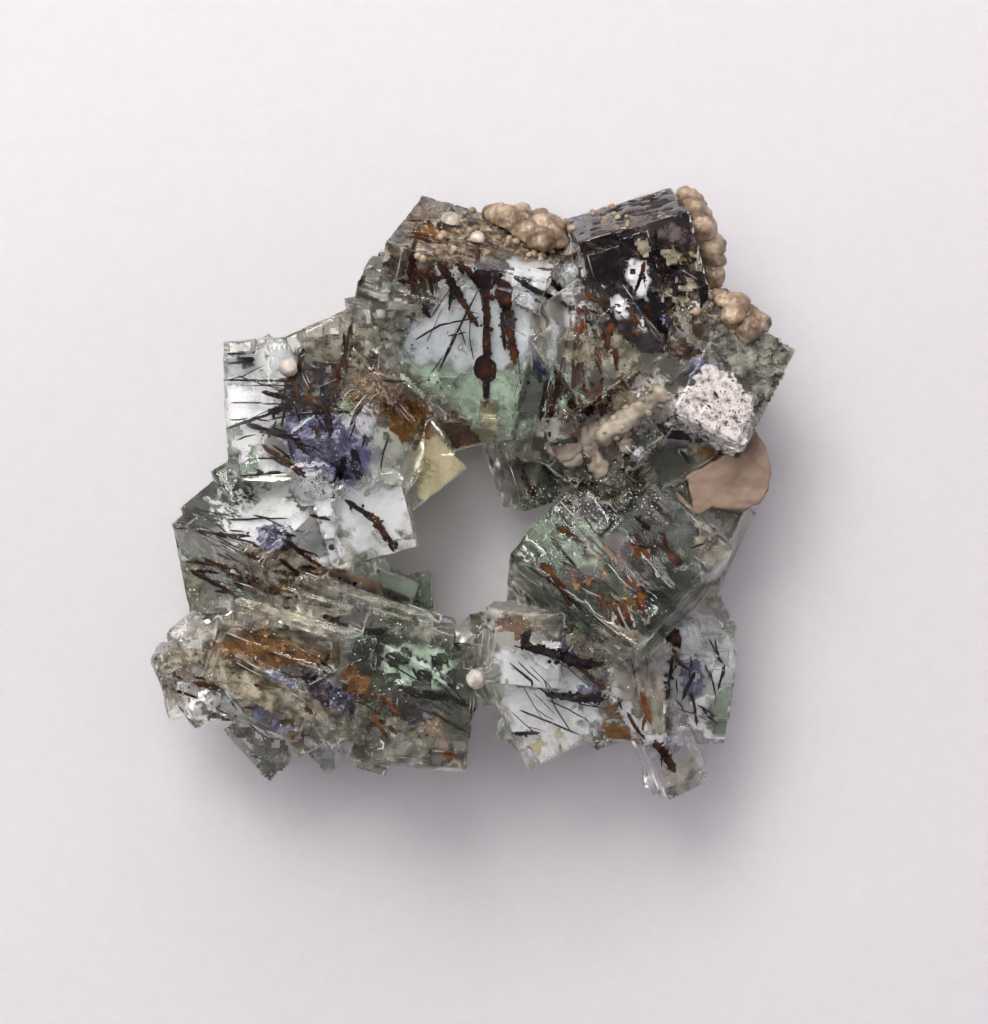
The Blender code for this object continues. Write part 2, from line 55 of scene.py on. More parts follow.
# Threads inside the crystals: thickness in pixels at the start and the end, depth in mm, then the
# image places that the thread passes.
BLACK_THREADS = (
    (2.2, 1.6, 0.25, (415, 340), (440, 325), (480, 317)),
    (2.0, 2.0, 0.25, (448, 336), (466, 332)),
    (2.7, 1.9, 0.3, (438, 372), (478, 290)),
    (2.4, 2.2, 0.2, (225, 380), (290, 381)),
    (3.0, 2.7, 0.2, (228, 428), (275, 412)),
    (3.2, 2.4, 0.2, (240, 475), (285, 472)),
    (3.0, 2.2, 0.2, (228, 363), (252, 362)),
    (2.2, 3.2, 0.2, (178, 510), (245, 523)),
    (2.2, 2.2, 0.2, (200, 490), (250, 490)),
    (3.5, 2.4, 0.2, (172, 545), (230, 600)),
    (2.7, 2.2, 0.15, (690, 548), (705, 543)),
    (2.7, 1.6, 0.25, (510, 663), (600, 735)),
    (2.2, 1.6, 0.25, (520, 710), (580, 735)),
    (4.3, 2.7, 0.2, (522, 763), (540, 770)),
    (2.4, 1.9, 0.2, (660, 702), (703, 748)),
    (4.1, 3.0, 0.2, (695, 672), (682, 700)),
    (3.5, 2.7, 0.2, (725, 665), (718, 690)),
    (4.6, 3.5, 0.2, (430, 668), (447, 680), (460, 695), (480, 712)),
    (4.3, 3.0, 0.2, (405, 703), (435, 715), (470, 733)),
    (7.7, 11.0, 0.15, (530, 630), (524, 645), (548, 652), (575, 661), (604, 665)),
    (5.5, 9.4, 0.15, (545, 693), (575, 698), (604, 699)),
    (7.7, 4.4, 0.25, (400, 687), (420, 695), (452, 698), (474, 710), (466, 725)),
    (7.4, 5.4, 0.2, (322, 615), (358, 632)),
    (6.1, 6.8, 0.2, (360, 630), (385, 632)),
    (2.9, 8.8, 0.3, (193, 529), (225, 535), (290, 548)),
    (5.4, 6.8, 0.25, (222, 570), (280, 590)),
    (5.5, 7.7, 0.25, (320, 375), (332, 440)),
    (8.1, 6.8, 0.25, (352, 450), (360, 480)),
    (6.8, 5.4, 0.25, (345, 455), (340, 480)),
    (6.8, 5.4, 0.25, (268, 413), (296, 405)),
    (5.4, 6.8, 0.25, (247, 425), (300, 440)),
    (4.1, 6.8, 0.35, (515, 275), (570, 308)),
    (6.8, 5.4, 0.25, (560, 468), (590, 490)),
    (6.8, 5.4, 0.2, (650, 500), (673, 522)),
    (8.1, 6.8, 0.25, (672, 655), (665, 700)),
    (6.8, 5.4, 0.3, (547, 380), (540, 420)),
    (6.8, 5.4, 0.3, (530, 375), (520, 410)),
    (4.7, 4.1, 0.1, (680, 450), (690, 463)),
)
RUST_THREADS = (
    (8.0, 7.5, 0.42, (487, 265), (487, 330), (486, 402)),
    (11.0, 8.5, 0.54, (502, 258), (506, 300), (515, 364)),
    (4.0, 4.0, 0.66, (497, 275), (505, 350)),
    (5.0, 4.0, 0.3, (427, 262), (433, 295)),
    (5.0, 5.0, 0.24, (433, 225), (400, 262)),
    (5.0, 5.0, 0.24, (358, 285), (380, 262)),
    (5.5, 4.0, 0.84, (535, 300), (535, 370)),
    (8.0, 5.0, 0.6, (438, 262), (478, 327)),
    (6.0, 5.0, 0.24, (412, 222), (398, 256)),
    (5.0, 4.0, 0.24, (420, 226), (409, 262)),
    (5.0, 5.0, 0.3, (580, 360), (572, 388)),
    (5.0, 5.0, 0.3, (597, 370), (593, 400)),
    (5.0, 4.0, 0.3, (560, 390), (559, 435)),
    (5.0, 4.0, 0.3, (570, 400), (571, 435)),
    (6.0, 8.0, 0.3, (605, 300), (645, 340)),
    (7.0, 8.0, 0.24, (515, 455), (535, 500)),
    (5.0, 7.0, 0.24, (570, 462), (531, 512)),
    (7.0, 5.0, 0.3, (620, 600), (632, 630)),
    (8.0, 6.0, 0.3, (637, 590), (650, 630)),
    (5.0, 5.0, 0.3, (575, 662), (605, 690)),
    (4.0, 4.0, 0.24, (512, 733), (540, 733)),
    (8.0, 7.0, 0.24, (655, 740), (675, 772)),
    (6.0, 6.0, 0.24, (380, 695), (395, 708)),
    (6.0, 6.0, 0.24, (385, 720), (400, 737)),
    (6.0, 8.0, 0.24, (425, 730), (453, 762)),
    (4.0, 4.0, 0.24, (310, 515), (330, 520)),
    (5.0, 8.0, 0.24, (345, 500), (375, 520), (393, 545)),
    (5.0, 8.0, 0.24, (298, 572), (345, 580), (410, 600)),
    (4.0, 4.0, 0.24, (190, 570), (240, 597)),
    (5.0, 5.0, 0.24, (272, 452), (303, 472)),
    (5.0, 4.0, 0.18, (228, 354), (255, 360)),
    (6.0, 5.0, 0.3, (305, 400), (322, 370)),
    (5.0, 5.0, 0.3, (350, 425), (362, 405)),
    (5.0, 6.0, 0.24, (262, 445), (305, 475)),
    (7.0, 5.0, 0.3, (409, 262), (414, 290), (430, 318)),
    (5.0, 4.0, 0.5, (446, 258), (452, 286), (449, 310)),
    (6.0, 5.0, 0.4, (538, 268), (562, 290), (588, 322)),
    (7.0, 5.0, 0.3, (584, 318), (578, 346), (582, 372)),
    (6.0, 5.0, 0.3, (606, 330), (598, 356), (604, 392)),
    (7.0, 9.0, 0.3, (602, 296), (620, 318), (641, 337)),
    (5.0, 6.0, 0.2, (560, 372), (556, 398), (548, 420)),
    (6.0, 7.0, 0.2, (300, 322), (330, 336), (352, 366)),
    (5.0, 7.0, 0.2, (352, 322), (346, 350), (330, 388)),
    (5.0, 4.0, 0.2, (262, 392), (300, 402), (338, 392)),
)
# A fan of rods: where they start, where they end, then thickness at the start and the end, and depth.
RUST_FAN = ((577, 298), ((560, 372), (570, 394), (586, 398), (600, 384), (612, 366)), (3.4, 1.8, 0.25))
# Swellings on the rods: image place, the radii across and along in pixels, depth in mm.
RUST_BULBS = (
    ((485, 278), 11, 11, 0.8),
    ((486, 366), 13, 19, 0.8),
    ((504, 293), 9, 12, 0.8),
    ((393, 545), 5, 5, 0.4),
    ((333, 547), 5, 4, 0.3),
    ((672, 640), 9, 9, 0.6),
)
# Dark lumps inside the crystals, given in the same way.
BLACK_LUMPS = (
    ((600, 262), 12, 16, 0.5),
    ((617, 276), 10, 14, 0.6),
    ((640, 302), 17, 14, 0.5),
    ((648, 338), 9, 12, 0.5),
    ((678, 350), 14, 6, 0.3),
    ((675, 432), 16, 8, 0.3),
    ((582, 412), 18, 12, 0.6),
    ((635, 560), 13, 20, 0.9),
    ((693, 532), 6, 6, 0.4),
    ((590, 235), 14, 9, 0.5),
)
# Clouds of colour inside the crystals: kind, image place, radii in pixels, turn in degrees, depth.
CLOUDS = (
    ("violet", (273, 540), 15, 18, 0, 1.2),
    ("violet", (322, 441), 14, 14, 0, 1.0),
    ("violet", (357, 462), 26, 20, 20, 1.2),
    ("violet", (710, 375), 20, 18, 0, 1.2),
    ("violet", (572, 647), 22, 14, -30, 1.5),
    ("violet", (588, 687), 16, 10, 0, 1.2),
    ("violet", (668, 745), 12, 12, 0, 0.8),
    ("violet", (273, 684), 18, 12, 0, 0.8),
    ("violet", (270, 710), 20, 13, 0, 0.8),
    ("violet", (327, 697), 14, 12, 0, 0.8),
    ("violet", (640, 300), 40, 34, 0, 1.6),
    ("ochre", (547, 447), 14, 14, 0, 0.9),
    ("ochre", (587, 585), 32, 14, -25, 1.0),
    ("ochre", (732, 515), 14, 7, 0, 0.8),
    ("ochre", (515, 620), 17, 6, 0, 0.6),
    ("ochre", (632, 704), 17, 24, 0, 0.9),
    ("ochre", (620, 732), 16, 6, 0, 0.6),
    ("ochre", (250, 645), 44, 12, 4, 0.7),
    ("ochre", (305, 655), 34, 10, -6, 0.7),
    ("ochre", (359, 680), 11, 17, 0, 0.7),
    ("ochre", (267, 556), 24, 5, 0, 0.5),
    ("ochre", (395, 405), 38, 34, 0, 1.2),
    ("ochre", (720, 450), 24, 10, 20, 0.6),
    ("ochre", (430, 235), 46, 22, 10, 1.2),
    ("ochre", (540, 245), 40, 18, 0, 1.2),
    ("green", (495, 395), 70, 32, 0, 2.2),
    ("green", (577, 388), 22, 18, 0, 1.2),
    ("green", (410, 596), 32, 24, 0, 2.5),
    ("green", (720, 728), 16, 14, 0, 1.2),
    ("green", (415, 662), 50, 26, 0, 1.6),
    ("green", (220, 490), 34, 22, -30, 1.6),
    ("green", (620, 560), 70, 60, 0, 3.0),
)

# Films inside the crystals or on them: kind, depth in mm, how much of the outline is filled, the width
# of its soft rim in pixels, then the outline's image places.
# The white and sky films, and in part the pale milky films, paint the light of the bright paper seen through
# the crystals.
FILMS = (
    # north crystal: grimy top, pale windows of painted light, green foot
    ("grime", 0.08, 1.0, 9, (386, 264), (402, 216), (424, 194), (462, 212), (502, 222), (574, 226),
     (592, 248), (562, 258), (506, 256), (470, 264), (440, 264), (414, 274), (396, 278)),
    ("haze", 0.05, 0.45, 7, (396, 250), (410, 212), (430, 196), (500, 222), (560, 228), (560, 250),
     (470, 258), (420, 262)),
    ("frost", 0.15, 0.62, 10, (346, 306), (372, 262), (400, 258), (432, 276), (424, 310), (408, 344),
     (380, 354), (352, 336)),
    ("grime", 0.3, 0.55, 8, (350, 290), (392, 256), (436, 264), (440, 300), (404, 330), (372, 336),
     (348, 312)),
    ("white", 1.0, 1.0, 14, (430, 312), (456, 284), (472, 296), (484, 330), (474, 358), (446, 356),
     (432, 328)),
    ("milk", 1.2, 1.0, 7, (458, 270), (470, 264), (483, 283), (474, 293), (461, 286)),
    ("white", 1.2, 1.0, 7, (506, 260), (522, 252), (555, 254), (560, 274), (546, 296), (524, 290),
     (505, 278)),
    ("white", 1.2, 0.92, 7, (559, 272), (574, 262), (582, 290), (568, 304), (556, 290)),
    ("sage", 0.3, 0.35, 12, (226, 346), (286, 342), (290, 372), (228, 378)),
    ("sky", 0.9, 1.0, 20, (400, 330), (440, 290), (530, 292), (548, 330), (546, 380), (500, 386),
     (440, 380), (402, 360)),
    ("foam", 0.8, 1.0, 30, (388, 346), (436, 356), (520, 360), (562, 372), (566, 418), (536, 436),
     (470, 412), (416, 398)),
    ("foam", 0.8, 0.8, 20, (470, 380), (530, 380), (560, 396), (556, 420), (520, 416)),
    ("cream", 0.5, 1.0, 5, (478, 400), (496, 400), (498, 422), (479, 426)),
    ("haze", 0.3, 0.85, 5, (527, 302), (546, 306), (548, 368), (535, 370)),
    ("milk", 0.3, 0.55, 9, (556, 262), (586, 262), (594, 300), (586, 334), (562, 324)),
    ("grime", 0.3, 0.20, 7, (545, 292), (590, 262), (612, 330), (596, 360), (566, 352), (548, 330)),
    # dark crystal in the north-east
    ("mauve", 0.06, 1.0, 8, (566, 224), (640, 196), (668, 188), (696, 202), (708, 230), (690, 250),
     (640, 240), (600, 244), (572, 242)),
    ("haze", 0.03, 0.25, 5, (572, 228), (640, 204), (680, 200), (690, 224), (640, 230), (600, 238)),
    ("mauve", 0.1, 0.85, 9, (684, 236), (706, 232), (718, 262), (712, 296), (690, 322), (670, 300),
     (672, 262)),
    ("mauve", 0.12, 0.9, 9, (584, 236), (640, 230), (680, 240), (688, 270), (650, 262), (600, 262)),
    ("black", 0.22, 0.95, 6, (588, 240), (640, 232), (676, 246), (674, 270), (640, 264), (620, 290),
     (604, 296), (592, 280)),
    ("black", 0.22, 0.95, 6, (604, 280), (622, 286), (640, 300), (664, 300), (676, 330), (660, 352),
     (640, 350), (612, 326)),
    ("black", 0.22, 0.85, 6, (650, 250), (682, 246), (690, 290), (668, 316), (652, 290)),
    # The pale films here paint the light in the windows between the black masses.
    ("milk", 0.05, 0.95, 6, (622, 266), (634, 258), (646, 262), (652, 284), (648, 300), (636, 296),
     (627, 284)),
    ("milk", 0.05, 0.90, 6, (608, 298), (622, 294), (632, 308), (628, 322), (614, 320)),
    ("milk", 0.05, 0.80, 6, (636, 314), (648, 314), (648, 334), (637, 332)),
    ("haze", 0.03, 1.0, 3, (632, 240), (648, 238), (654, 252), (642, 260)),
    ("haze", 0.03, 0.8, 5, (660, 250), (674, 246), (682, 260), (668, 270)),
    ("haze", 0.03, 0.5, 6, (656, 282), (692, 272), (704, 300), (684, 328), (662, 322)),
    ("haze", 0.03, 0.85, 3, (694, 252), (710, 252), (712, 272), (698, 274)),
    ("black", 0.08, 1.0, 4, (584, 244), (612, 236), (642, 238), (674, 246), (670, 264), (640, 262),
     (622, 266), (612, 284), (602, 292), (590, 282)),
    ("black", 0.08, 1.0, 4, (594, 276), (612, 282), (624, 302), (642, 322), (658, 336), (662, 354),
     (642, 354), (624, 338), (604, 312)),
    ("black", 0.08, 1.0, 4, (630, 258), (644, 260), (641, 290), (652, 312), (658, 336), (644, 336),
     (632, 312), (627, 286)),
    ("black", 0.08, 1.0, 4, (655, 254), (678, 254), (678, 300), (670, 332), (658, 328), (660, 296)),
    # A pale film deep under the black masses: painted light that shows in their gaps.
    ("sky", 2.2, 1.0, 8, (584, 240), (664, 240), (668, 300), (654, 342), (606, 320), (590, 280)),
    ("grime", 0.2, 0.60, 8, (570, 236), (600, 240), (610, 300), (636, 348), (600, 350), (576, 300)),
    ("tan", 0.15, 0.55, 9, (668, 262), (700, 280), (724, 300), (738, 330), (700, 346), (664, 330)),
    ("tan", 0.1, 0.80, 5, (676, 248), (696, 248), (698, 270), (680, 272)),
    # east crystal: white speckled face with a grimy rim
    ("chalk", 0.05, 1.0, 7, (690, 384), (700, 366), (714, 362), (732, 376), (752, 394), (752, 424),
     (742, 446), (728, 450), (700, 440), (670, 428), (660, 410), (672, 396)),
    ("chalk", 0.06, 1.0, 6, (632, 372), (655, 366), (668, 380), (656, 398), (636, 396)),
    ("violet", 0.3, 0.72, 7, (688, 360), (712, 354), (726, 384), (710, 398), (692, 396)),
    ("slate", 0.3, 0.85, 7, (654, 424), (668, 422), (692, 431), (703, 443), (690, 443), (666, 435)),
    ("milk", 0.5, 1.0, 7, (659, 441), (674, 441), (688, 450), (684, 456), (664, 450)),
    ("frost", 0.05, 0.80, 8, (700, 326), (752, 322), (798, 348), (784, 388), (764, 436), (752, 442),
     (750, 398), (728, 374), (706, 356)),
    ("grime", 0.12, 0.52, 7, (660, 338), (700, 322), (752, 322), (797, 348), (782, 388), (762, 432),
     (752, 442), (748, 396), (728, 374), (708, 358), (680, 362)),
    ("milk", 0.3, 1.0, 7, (726, 366), (742, 372), (746, 392), (734, 390)),
    ("milk", 0.3, 1.0, 7, (744, 390), (756, 394), (754, 414), (746, 412)),
    ("ochre", 0.3, 0.55, 7, (690, 446), (720, 448), (742, 452), (736, 470), (712, 468), (694, 458)),
    ("grime", 0.05, 1.0, 6, (664, 346), (690, 342), (694, 356), (666, 360)),
    # the crown in the middle
    ("green", 0.5, 1.0, 8, (560, 376), (580, 364), (600, 382), (592, 404), (566, 406)),
    ("pane", 0.3, 1.0, 9, (539, 430), (557, 412), (568, 438), (546, 448)),
    ("haze", 0.08, 0.85, 8, (556, 406), (580, 402), (608, 406), (602, 426), (582, 432), (562, 438)),
    ("ochre", 0.4, 0.90, 7, (530, 438), (552, 432), (564, 450), (556, 480), (536, 474)),
    ("tan", 0.08, 0.80, 9, (590, 400), (640, 366), (666, 380), (646, 424), (606, 450), (586, 434)),
    ("haze", 0.08, 0.70, 8, (560, 336), (600, 326), (646, 350), (622, 376), (586, 366), (562, 362)),
    ("pane", 0.5, 0.9, 9, (630, 436), (652, 428), (666, 446), (650, 464), (628, 456)),
    ("milk", 0.2, 1.0, 7, (628, 452), (640, 444), (645, 455), (630, 465)),
    ("frost", 0.10, 0.62, 8, (496, 440), (522, 428), (544, 456), (544, 500), (530, 526), (506, 488)),
    ("grime", 0.3, 0.55, 7, (580, 440), (620, 430), (640, 470), (610, 492), (580, 478)),
    ("haze", 0.08, 0.60, 8, (556, 468), (600, 476), (650, 462), (664, 486), (620, 506), (560, 500)),
    # the heart: dark grey-green with an ochre and black middle
    ("moss", 1.2, 1.0, 16, (512, 536), (600, 494), (656, 516), (706, 580), (650, 640), (590, 610),
     (540, 574)),
    ("sage", 0.35, 1.0, 14, (506, 560), (524, 526), (570, 500), (604, 488), (650, 500), (690, 530),
     (706, 584), (668, 632), (612, 664), (560, 632), (510, 592)),
    ("sage", 0.35, 0.95, 12, (500, 446), (540, 430), (600, 440), (650, 430), (690, 450), (704, 512),
     (650, 505), (600, 490), (560, 510), (530, 526), (506, 490)),
    ("green", 0.25, 0.85, 12, (516, 530), (556, 508), (604, 520), (600, 566), (556, 572), (526, 552)),
    ("slate", 0.14, 0.85, 8, (610, 540), (630, 532), (658, 562), (650, 582), (626, 574)),
    ("ochre", 0.12, 0.50, 8, (590, 548), (610, 544), (650, 596), (640, 614), (606, 590)),
    ("ochre", 0.15, 0.42, 7, (556, 562), (590, 572), (622, 600), (636, 634), (618, 634), (598, 606),
     (564, 584)),
    ("frost", 0.06, 0.22, 7, (548, 500), (566, 490), (656, 590), (644, 606), (560, 534)),
    ("frost", 0.05, 0.36, 9, (504, 552), (530, 548), (626, 640), (610, 664), (560, 632), (514, 594)),
    ("frost", 0.06, 0.15, 8, (640, 500), (700, 540), (706, 584), (660, 600), (646, 560)),
    ("grime", 0.3, 0.60, 7, (646, 494), (664, 500), (680, 524), (662, 528), (648, 510)),
    ("pane", 0.3, 0.9, 6, (608, 610), (628, 602), (638, 630), (616, 634)),
    ("pane", 0.8, 1.0, 10, (682, 530), (712, 526), (736, 540), (726, 572), (690, 566)),
    ("haze", 0.4, 0.70, 10, (694, 504), (752, 506), (746, 560), (716, 612), (694, 590)),
    # white crystal in the south; its white is painted light seen through it
    ("milk", 1.0, 1.0, 9, (494, 652), (524, 644), (576, 662), (590, 684), (606, 696), (600, 728),
     (566, 756), (530, 764), (504, 712)),
    ("white", 0.9, 0.9, 8, (526, 650), (560, 632), (584, 650), (570, 668), (540, 664)),
    ("cream", 0.9, 0.42, 12, (520, 736), (590, 722), (584, 742), (548, 768), (528, 768)),
    ("violet", 0.8, 0.80, 7, (554, 640), (584, 632), (598, 658), (570, 656)),
    ("violet", 0.7, 0.75, 6, (576, 674), (600, 678), (598, 696), (574, 696)),
    ("ochre", 0.3, 1.0, 5, (494, 619), (530, 612), (536, 628), (524, 648), (514, 634), (498, 632)),
    ("haze", 0.05, 0.90, 8, (486, 592), (530, 588), (560, 610), (600, 652), (608, 676), (596, 680),
     (566, 642), (530, 618), (496, 614)),
    ("ochre", 0.4, 1.0, 8, (610, 684), (630, 684), (652, 716), (640, 728), (610, 714)),
    ("ochre", 0.3, 1.0, 7, (602, 726), (640, 722), (640, 741), (602, 740)),
    ("haze", 0.06, 0.92, 10, (592, 622), (640, 632), (668, 690), (672, 736), (652, 736), (618, 692),
     (598, 664)),
    ("milk", 1.6, 1.0, 12, (664, 622), (700, 616), (736, 634), (742, 690), (732, 736), (690, 732),
     (664, 690)),
    ("white", 0.8, 1.0, 8, (690, 700), (720, 690), (736, 706), (722, 738), (692, 730)),
    ("milk", 0.9, 1.0, 8, (672, 622), (706, 618), (736, 640), (730, 654), (680, 652)),
    ("violet", 0.7, 0.72, 7, (676, 662), (700, 658), (706, 690), (684, 704)),
    ("green", 0.7, 0.8, 9, (706, 700), (738, 676), (744, 700), (732, 738), (708, 734)),
    ("haze", 0.2, 0.40, 9, (640, 738), (672, 732), (700, 750), (690, 790), (664, 796), (646, 770)),
    ("frost", 0.4, 0.7, 8, (676, 764), (694, 752), (698, 772), (682, 786)),
    # south box and the south-west lobe
    ("green", 0.8, 1.0, 12, (350, 634), (400, 626), (464, 648), (456, 692), (400, 690), (362, 674)),
    ("sage", 0.4, 0.95, 12, (350, 640), (400, 622), (464, 640), (484, 700), (470, 758), (400, 768),
     (350, 756), (342, 690)),
    ("milk", 0.2, 0.85, 9, (590, 636), (640, 640), (672, 690), (682, 744), (650, 764), (612, 700)),
    ("moss", 0.25, 1.0, 10, (360, 690), (420, 686), (480, 716), (470, 744), (410, 730), (366, 714)),
    ("foam", 0.34, 0.42, 12, (384, 640), (440, 642), (460, 662), (450, 692), (400, 690), (376, 672)),
    ("grime", 0.15, 0.75, 8, (352, 700), (380, 690), (410, 700), (440, 722), (452, 752), (400, 762),
     (360, 744)),
    ("slate", 0.12, 0.85, 6, (396, 700), (424, 702), (446, 716), (440, 728), (406, 722)),
    ("tan", 0.08, 0.9, 6, (424, 722), (438, 718), (462, 758), (450, 770), (436, 752)),
    ("frost", 0.05, 0.75, 8, (360, 740), (400, 722), (420, 752), (470, 762), (466, 774), (380, 774)),
    ("ochre", 0.12, 0.95, 7, (341, 670), (352, 662), (370, 680), (368, 698), (344, 690)),
    ("violet", 0.4, 0.85, 8, (308, 680), (334, 680), (368, 704), (356, 724), (314, 708)),
    ("slate", 0.35, 0.62, 7, (300, 668), (320, 676), (362, 712), (346, 724), (310, 700)),
    ("cream", 0.5, 0.70, 8, (350, 752), (400, 744), (466, 756), (468, 774), (400, 772), (352, 766)),
    ("frost", 0.05, 0.50, 9, (330, 716), (372, 700), (430, 722), (476, 740), (472, 758), (400, 748),
     (340, 750)),
    ("frost", 0.05, 0.75, 9, (340, 606), (400, 602), (476, 624), (490, 650), (474, 694), (450, 650),
     (390, 632)),
    ("ochre", 0.12, 0.92, 8, (204, 646), (232, 630), (284, 634), (340, 648), (334, 664), (280, 666),
     (244, 674), (206, 668)),
    ("ochre", 0.15, 0.70, 7, (222, 628), (280, 624), (330, 640), (290, 646), (240, 640)),
    ("haze", 0.03, 0.92, 8, (148, 690), (168, 648), (196, 648), (250, 664), (340, 714), (350, 738),
     (322, 742), (240, 696), (190, 680), (166, 714)),
    ("haze", 0.05, 0.80, 9, (152, 680), (172, 636), (200, 616), (244, 604), (256, 628), (200, 652),
     (176, 700)),
    ("milk", 0.4, 1.0, 7, (234, 664), (262, 654), (280, 672), (262, 684), (240, 678)),
    ("milk", 0.3, 1.0, 7, (184, 674), (200, 672), (202, 692), (188, 694)),
    ("milk", 0.3, 0.85, 7, (200, 674), (228, 678), (234, 702), (206, 702)),
    ("violet", 0.35, 0.92, 8, (246, 672), (290, 676), (300, 706), (296, 734), (262, 728), (246, 700)),
    ("slate", 0.3, 0.55, 6, (244, 680), (292, 684), (300, 730), (254, 722)),
    ("grime", 0.1, 0.72, 6, (194, 702), (214, 704), (250, 722), (268, 748), (246, 742), (204, 716)),
    ("sage", 0.3, 0.62, 9, (244, 732), (292, 736), (290, 782), (264, 786), (250, 760)),
    ("frost", 0.2, 0.7, 8, (262, 752), (284, 746), (288, 774), (268, 780)),
    ("ochre", 0.2, 0.60, 8, (284, 722), (318, 724), (336, 748), (308, 756), (288, 742)),
    ("milk", 0.2, 0.75, 7, (304, 734), (334, 728), (344, 756), (312, 764)),
    ("haze", 0.05, 0.85, 9, (240, 594), (330, 596), (356, 636), (300, 644), (246, 624)),
    ("green", 0.3, 0.7, 9, (296, 744), (350, 748), (356, 772), (310, 776)),
    # west: grey-green and white crystal with a violet ring; its white is painted light
    ("moss", 0.7, 1.0, 12, (160, 512), (210, 464), (250, 474), (256, 500), (232, 530), (180, 528)),
    ("white", 0.7, 1.0, 10, (206, 500), (256, 486), (300, 484), (336, 500), (316, 544), (270, 552),
     (230, 540)),
    ("violet", 0.5, 0.85, 6, (256, 530), (276, 522), (292, 536), (288, 556), (262, 554)),
    ("green", 0.5, 0.85, 12, (156, 540), (196, 546), (236, 600), (204, 612), (178, 590)),
    ("haze", 0.2, 0.60, 9, (152, 530), (190, 560), (236, 610), (200, 620), (166, 580)),
    ("haze", 0.05, 0.85, 8, (238, 542), (300, 556), (350, 590), (330, 604), (280, 590), (230, 566)),
    ("grime", 0.15, 0.62, 6, (214, 562), (250, 566), (300, 582), (330, 600), (286, 600), (230, 584)),
    ("ochre", 0.15, 0.85, 5, (244, 550), (292, 550), (292, 562), (250, 562)),
    ("ochre", 0.15, 0.85, 6, (292, 572), (330, 564), (380, 584), (376, 598), (330, 590)),
    ("milk", 0.3, 0.95, 7, (290, 548), (332, 508), (344, 556), (322, 574)),
    ("milk", 0.3, 0.75, 7, (240, 572), (300, 580), (344, 604), (330, 616), (270, 600)),
    ("frost", 0.05, 0.75, 8, (300, 566), (360, 584), (420, 612), (400, 626), (330, 610), (280, 590)),
    ("milk", 1.2, 0.75, 12, (330, 488), (372, 476), (412, 486), (420, 542), (390, 564), (340, 552)),
    # west cube and the peak beside it
    ("white", 0.9, 1.0, 9, (206, 386), (272, 384), (294, 402), (280, 424), (262, 446), (284, 468),
     (292, 484), (212, 482)),
    ("green", 0.5, 0.62, 10, (208, 424), (262, 420), (262, 480), (212, 478)),
    ("milk", 1.0, 0.95, 10, (206, 342), (290, 340), (298, 366), (280, 386), (208, 386)),
    ("slate", 0.3, 0.72, 9, (280, 380), (316, 362), (340, 368), (346, 392), (330, 414), (296, 420),
     (276, 400)),
    ("green", 0.5, 0.90, 10, (306, 386), (340, 374), (362, 396), (346, 420), (310, 418)),
    ("violet", 0.3, 1.0, 8, (286, 410), (330, 408), (372, 440), (364, 478), (336, 490), (300, 468),
     (284, 440)),
    ("slate", 0.4, 0.50, 6, (296, 412), (340, 412), (364, 450), (344, 480), (306, 462)),
    ("milk", 0.3, 0.85, 6, (282, 466), (312, 460), (342, 488), (320, 504), (292, 498)),
    ("tan", 0.3, 1.0, 9, (336, 376), (376, 362), (412, 392), (392, 422), (352, 414)),
    ("ochre", 0.3, 0.90, 8, (386, 406), (418, 400), (436, 432), (414, 448), (392, 436)),
    ("milk", 0.3, 0.92, 7, (342, 418), (372, 400), (384, 410), (372, 438), (348, 442)),
    ("milk", 0.4, 0.9, 7, (384, 402), (402, 396), (408, 414), (394, 424)),
    ("haze", 0.1, 0.70, 8, (296, 326), (350, 308), (388, 340), (388, 368), (330, 364), (298, 352)),
    ("grime", 0.15, 0.50, 6, (300, 322), (350, 312), (384, 340), (384, 366), (330, 364), (302, 350)),
    ("frost", 0.06, 0.34, 7, (340, 300), (352, 296), (404, 360), (444, 404), (424, 410), (362, 362)),
    ("pane", 0.4, 0.85, 9, (364, 430), (400, 424), (420, 450), (412, 492), (370, 480)),
    # honey crystal at the middle
    ("cream", 0.4, 1.0, 8, (414, 432), (446, 430), (470, 466), (444, 492), (424, 510), (410, 472)),
    ("ochre", 0.4, 0.90, 7, (430, 414), (456, 410), (480, 440), (458, 450), (442, 442)),
    ("cream", 0.5, 1.0, 7, (448, 440), (492, 422), (504, 436), (476, 452), (454, 452)),
    ("green", 0.6, 1.0, 12, (360, 570), (432, 570), (444, 600), (420, 622), (376, 612)),
    ("grime", 0.1, 0.75, 6, (468, 604), (488, 598), (492, 632), (474, 644)),
)

# Relief of the crystals' surface: image place of the middle, radius in pixels, direction of the
# grooves in degrees in the image, how much longer than wide they are, their width and height in mm.
RELIEF = (
    ((575, 560), 75, -47, 5.0, 0.45, 0.03),
    ((655, 545), 55, -47, 4.0, 0.50, 0.03),
    ((640, 690), 62, -80, 5.0, 0.45, 0.09),
    ((245, 680), 105, -27, 3.5, 0.60, 0.13),
    ((320, 592), 95, -22, 5.0, 0.45, 0.11),
    ((410, 735), 62, -35, 2.5, 0.50, 0.09),
    ((430, 620), 60, -20, 4.0, 0.40, 0.12),
    ((610, 400), 72, 42, 3.0, 0.60, 0.08),
    ((560, 310), 52, -80, 3.0, 0.45, 0.08),
    ((440, 230), 72, 0, 1.0, 0.45, 0.14),
    ((520, 230), 60, 0, 1.0, 0.45, 0.14),
    ((650, 260), 90, 20, 1.5, 0.60, 0.20),
    ((755, 350), 60, 0, 1.0, 0.50, 0.12),
    ((360, 305), 56, 20, 1.5, 0.50, 0.12),
    ((520, 610), 50, -60, 2.0, 0.40, 0.07),
    ((515, 490), 45, -60, 2.0, 0.50, 0.08),
)
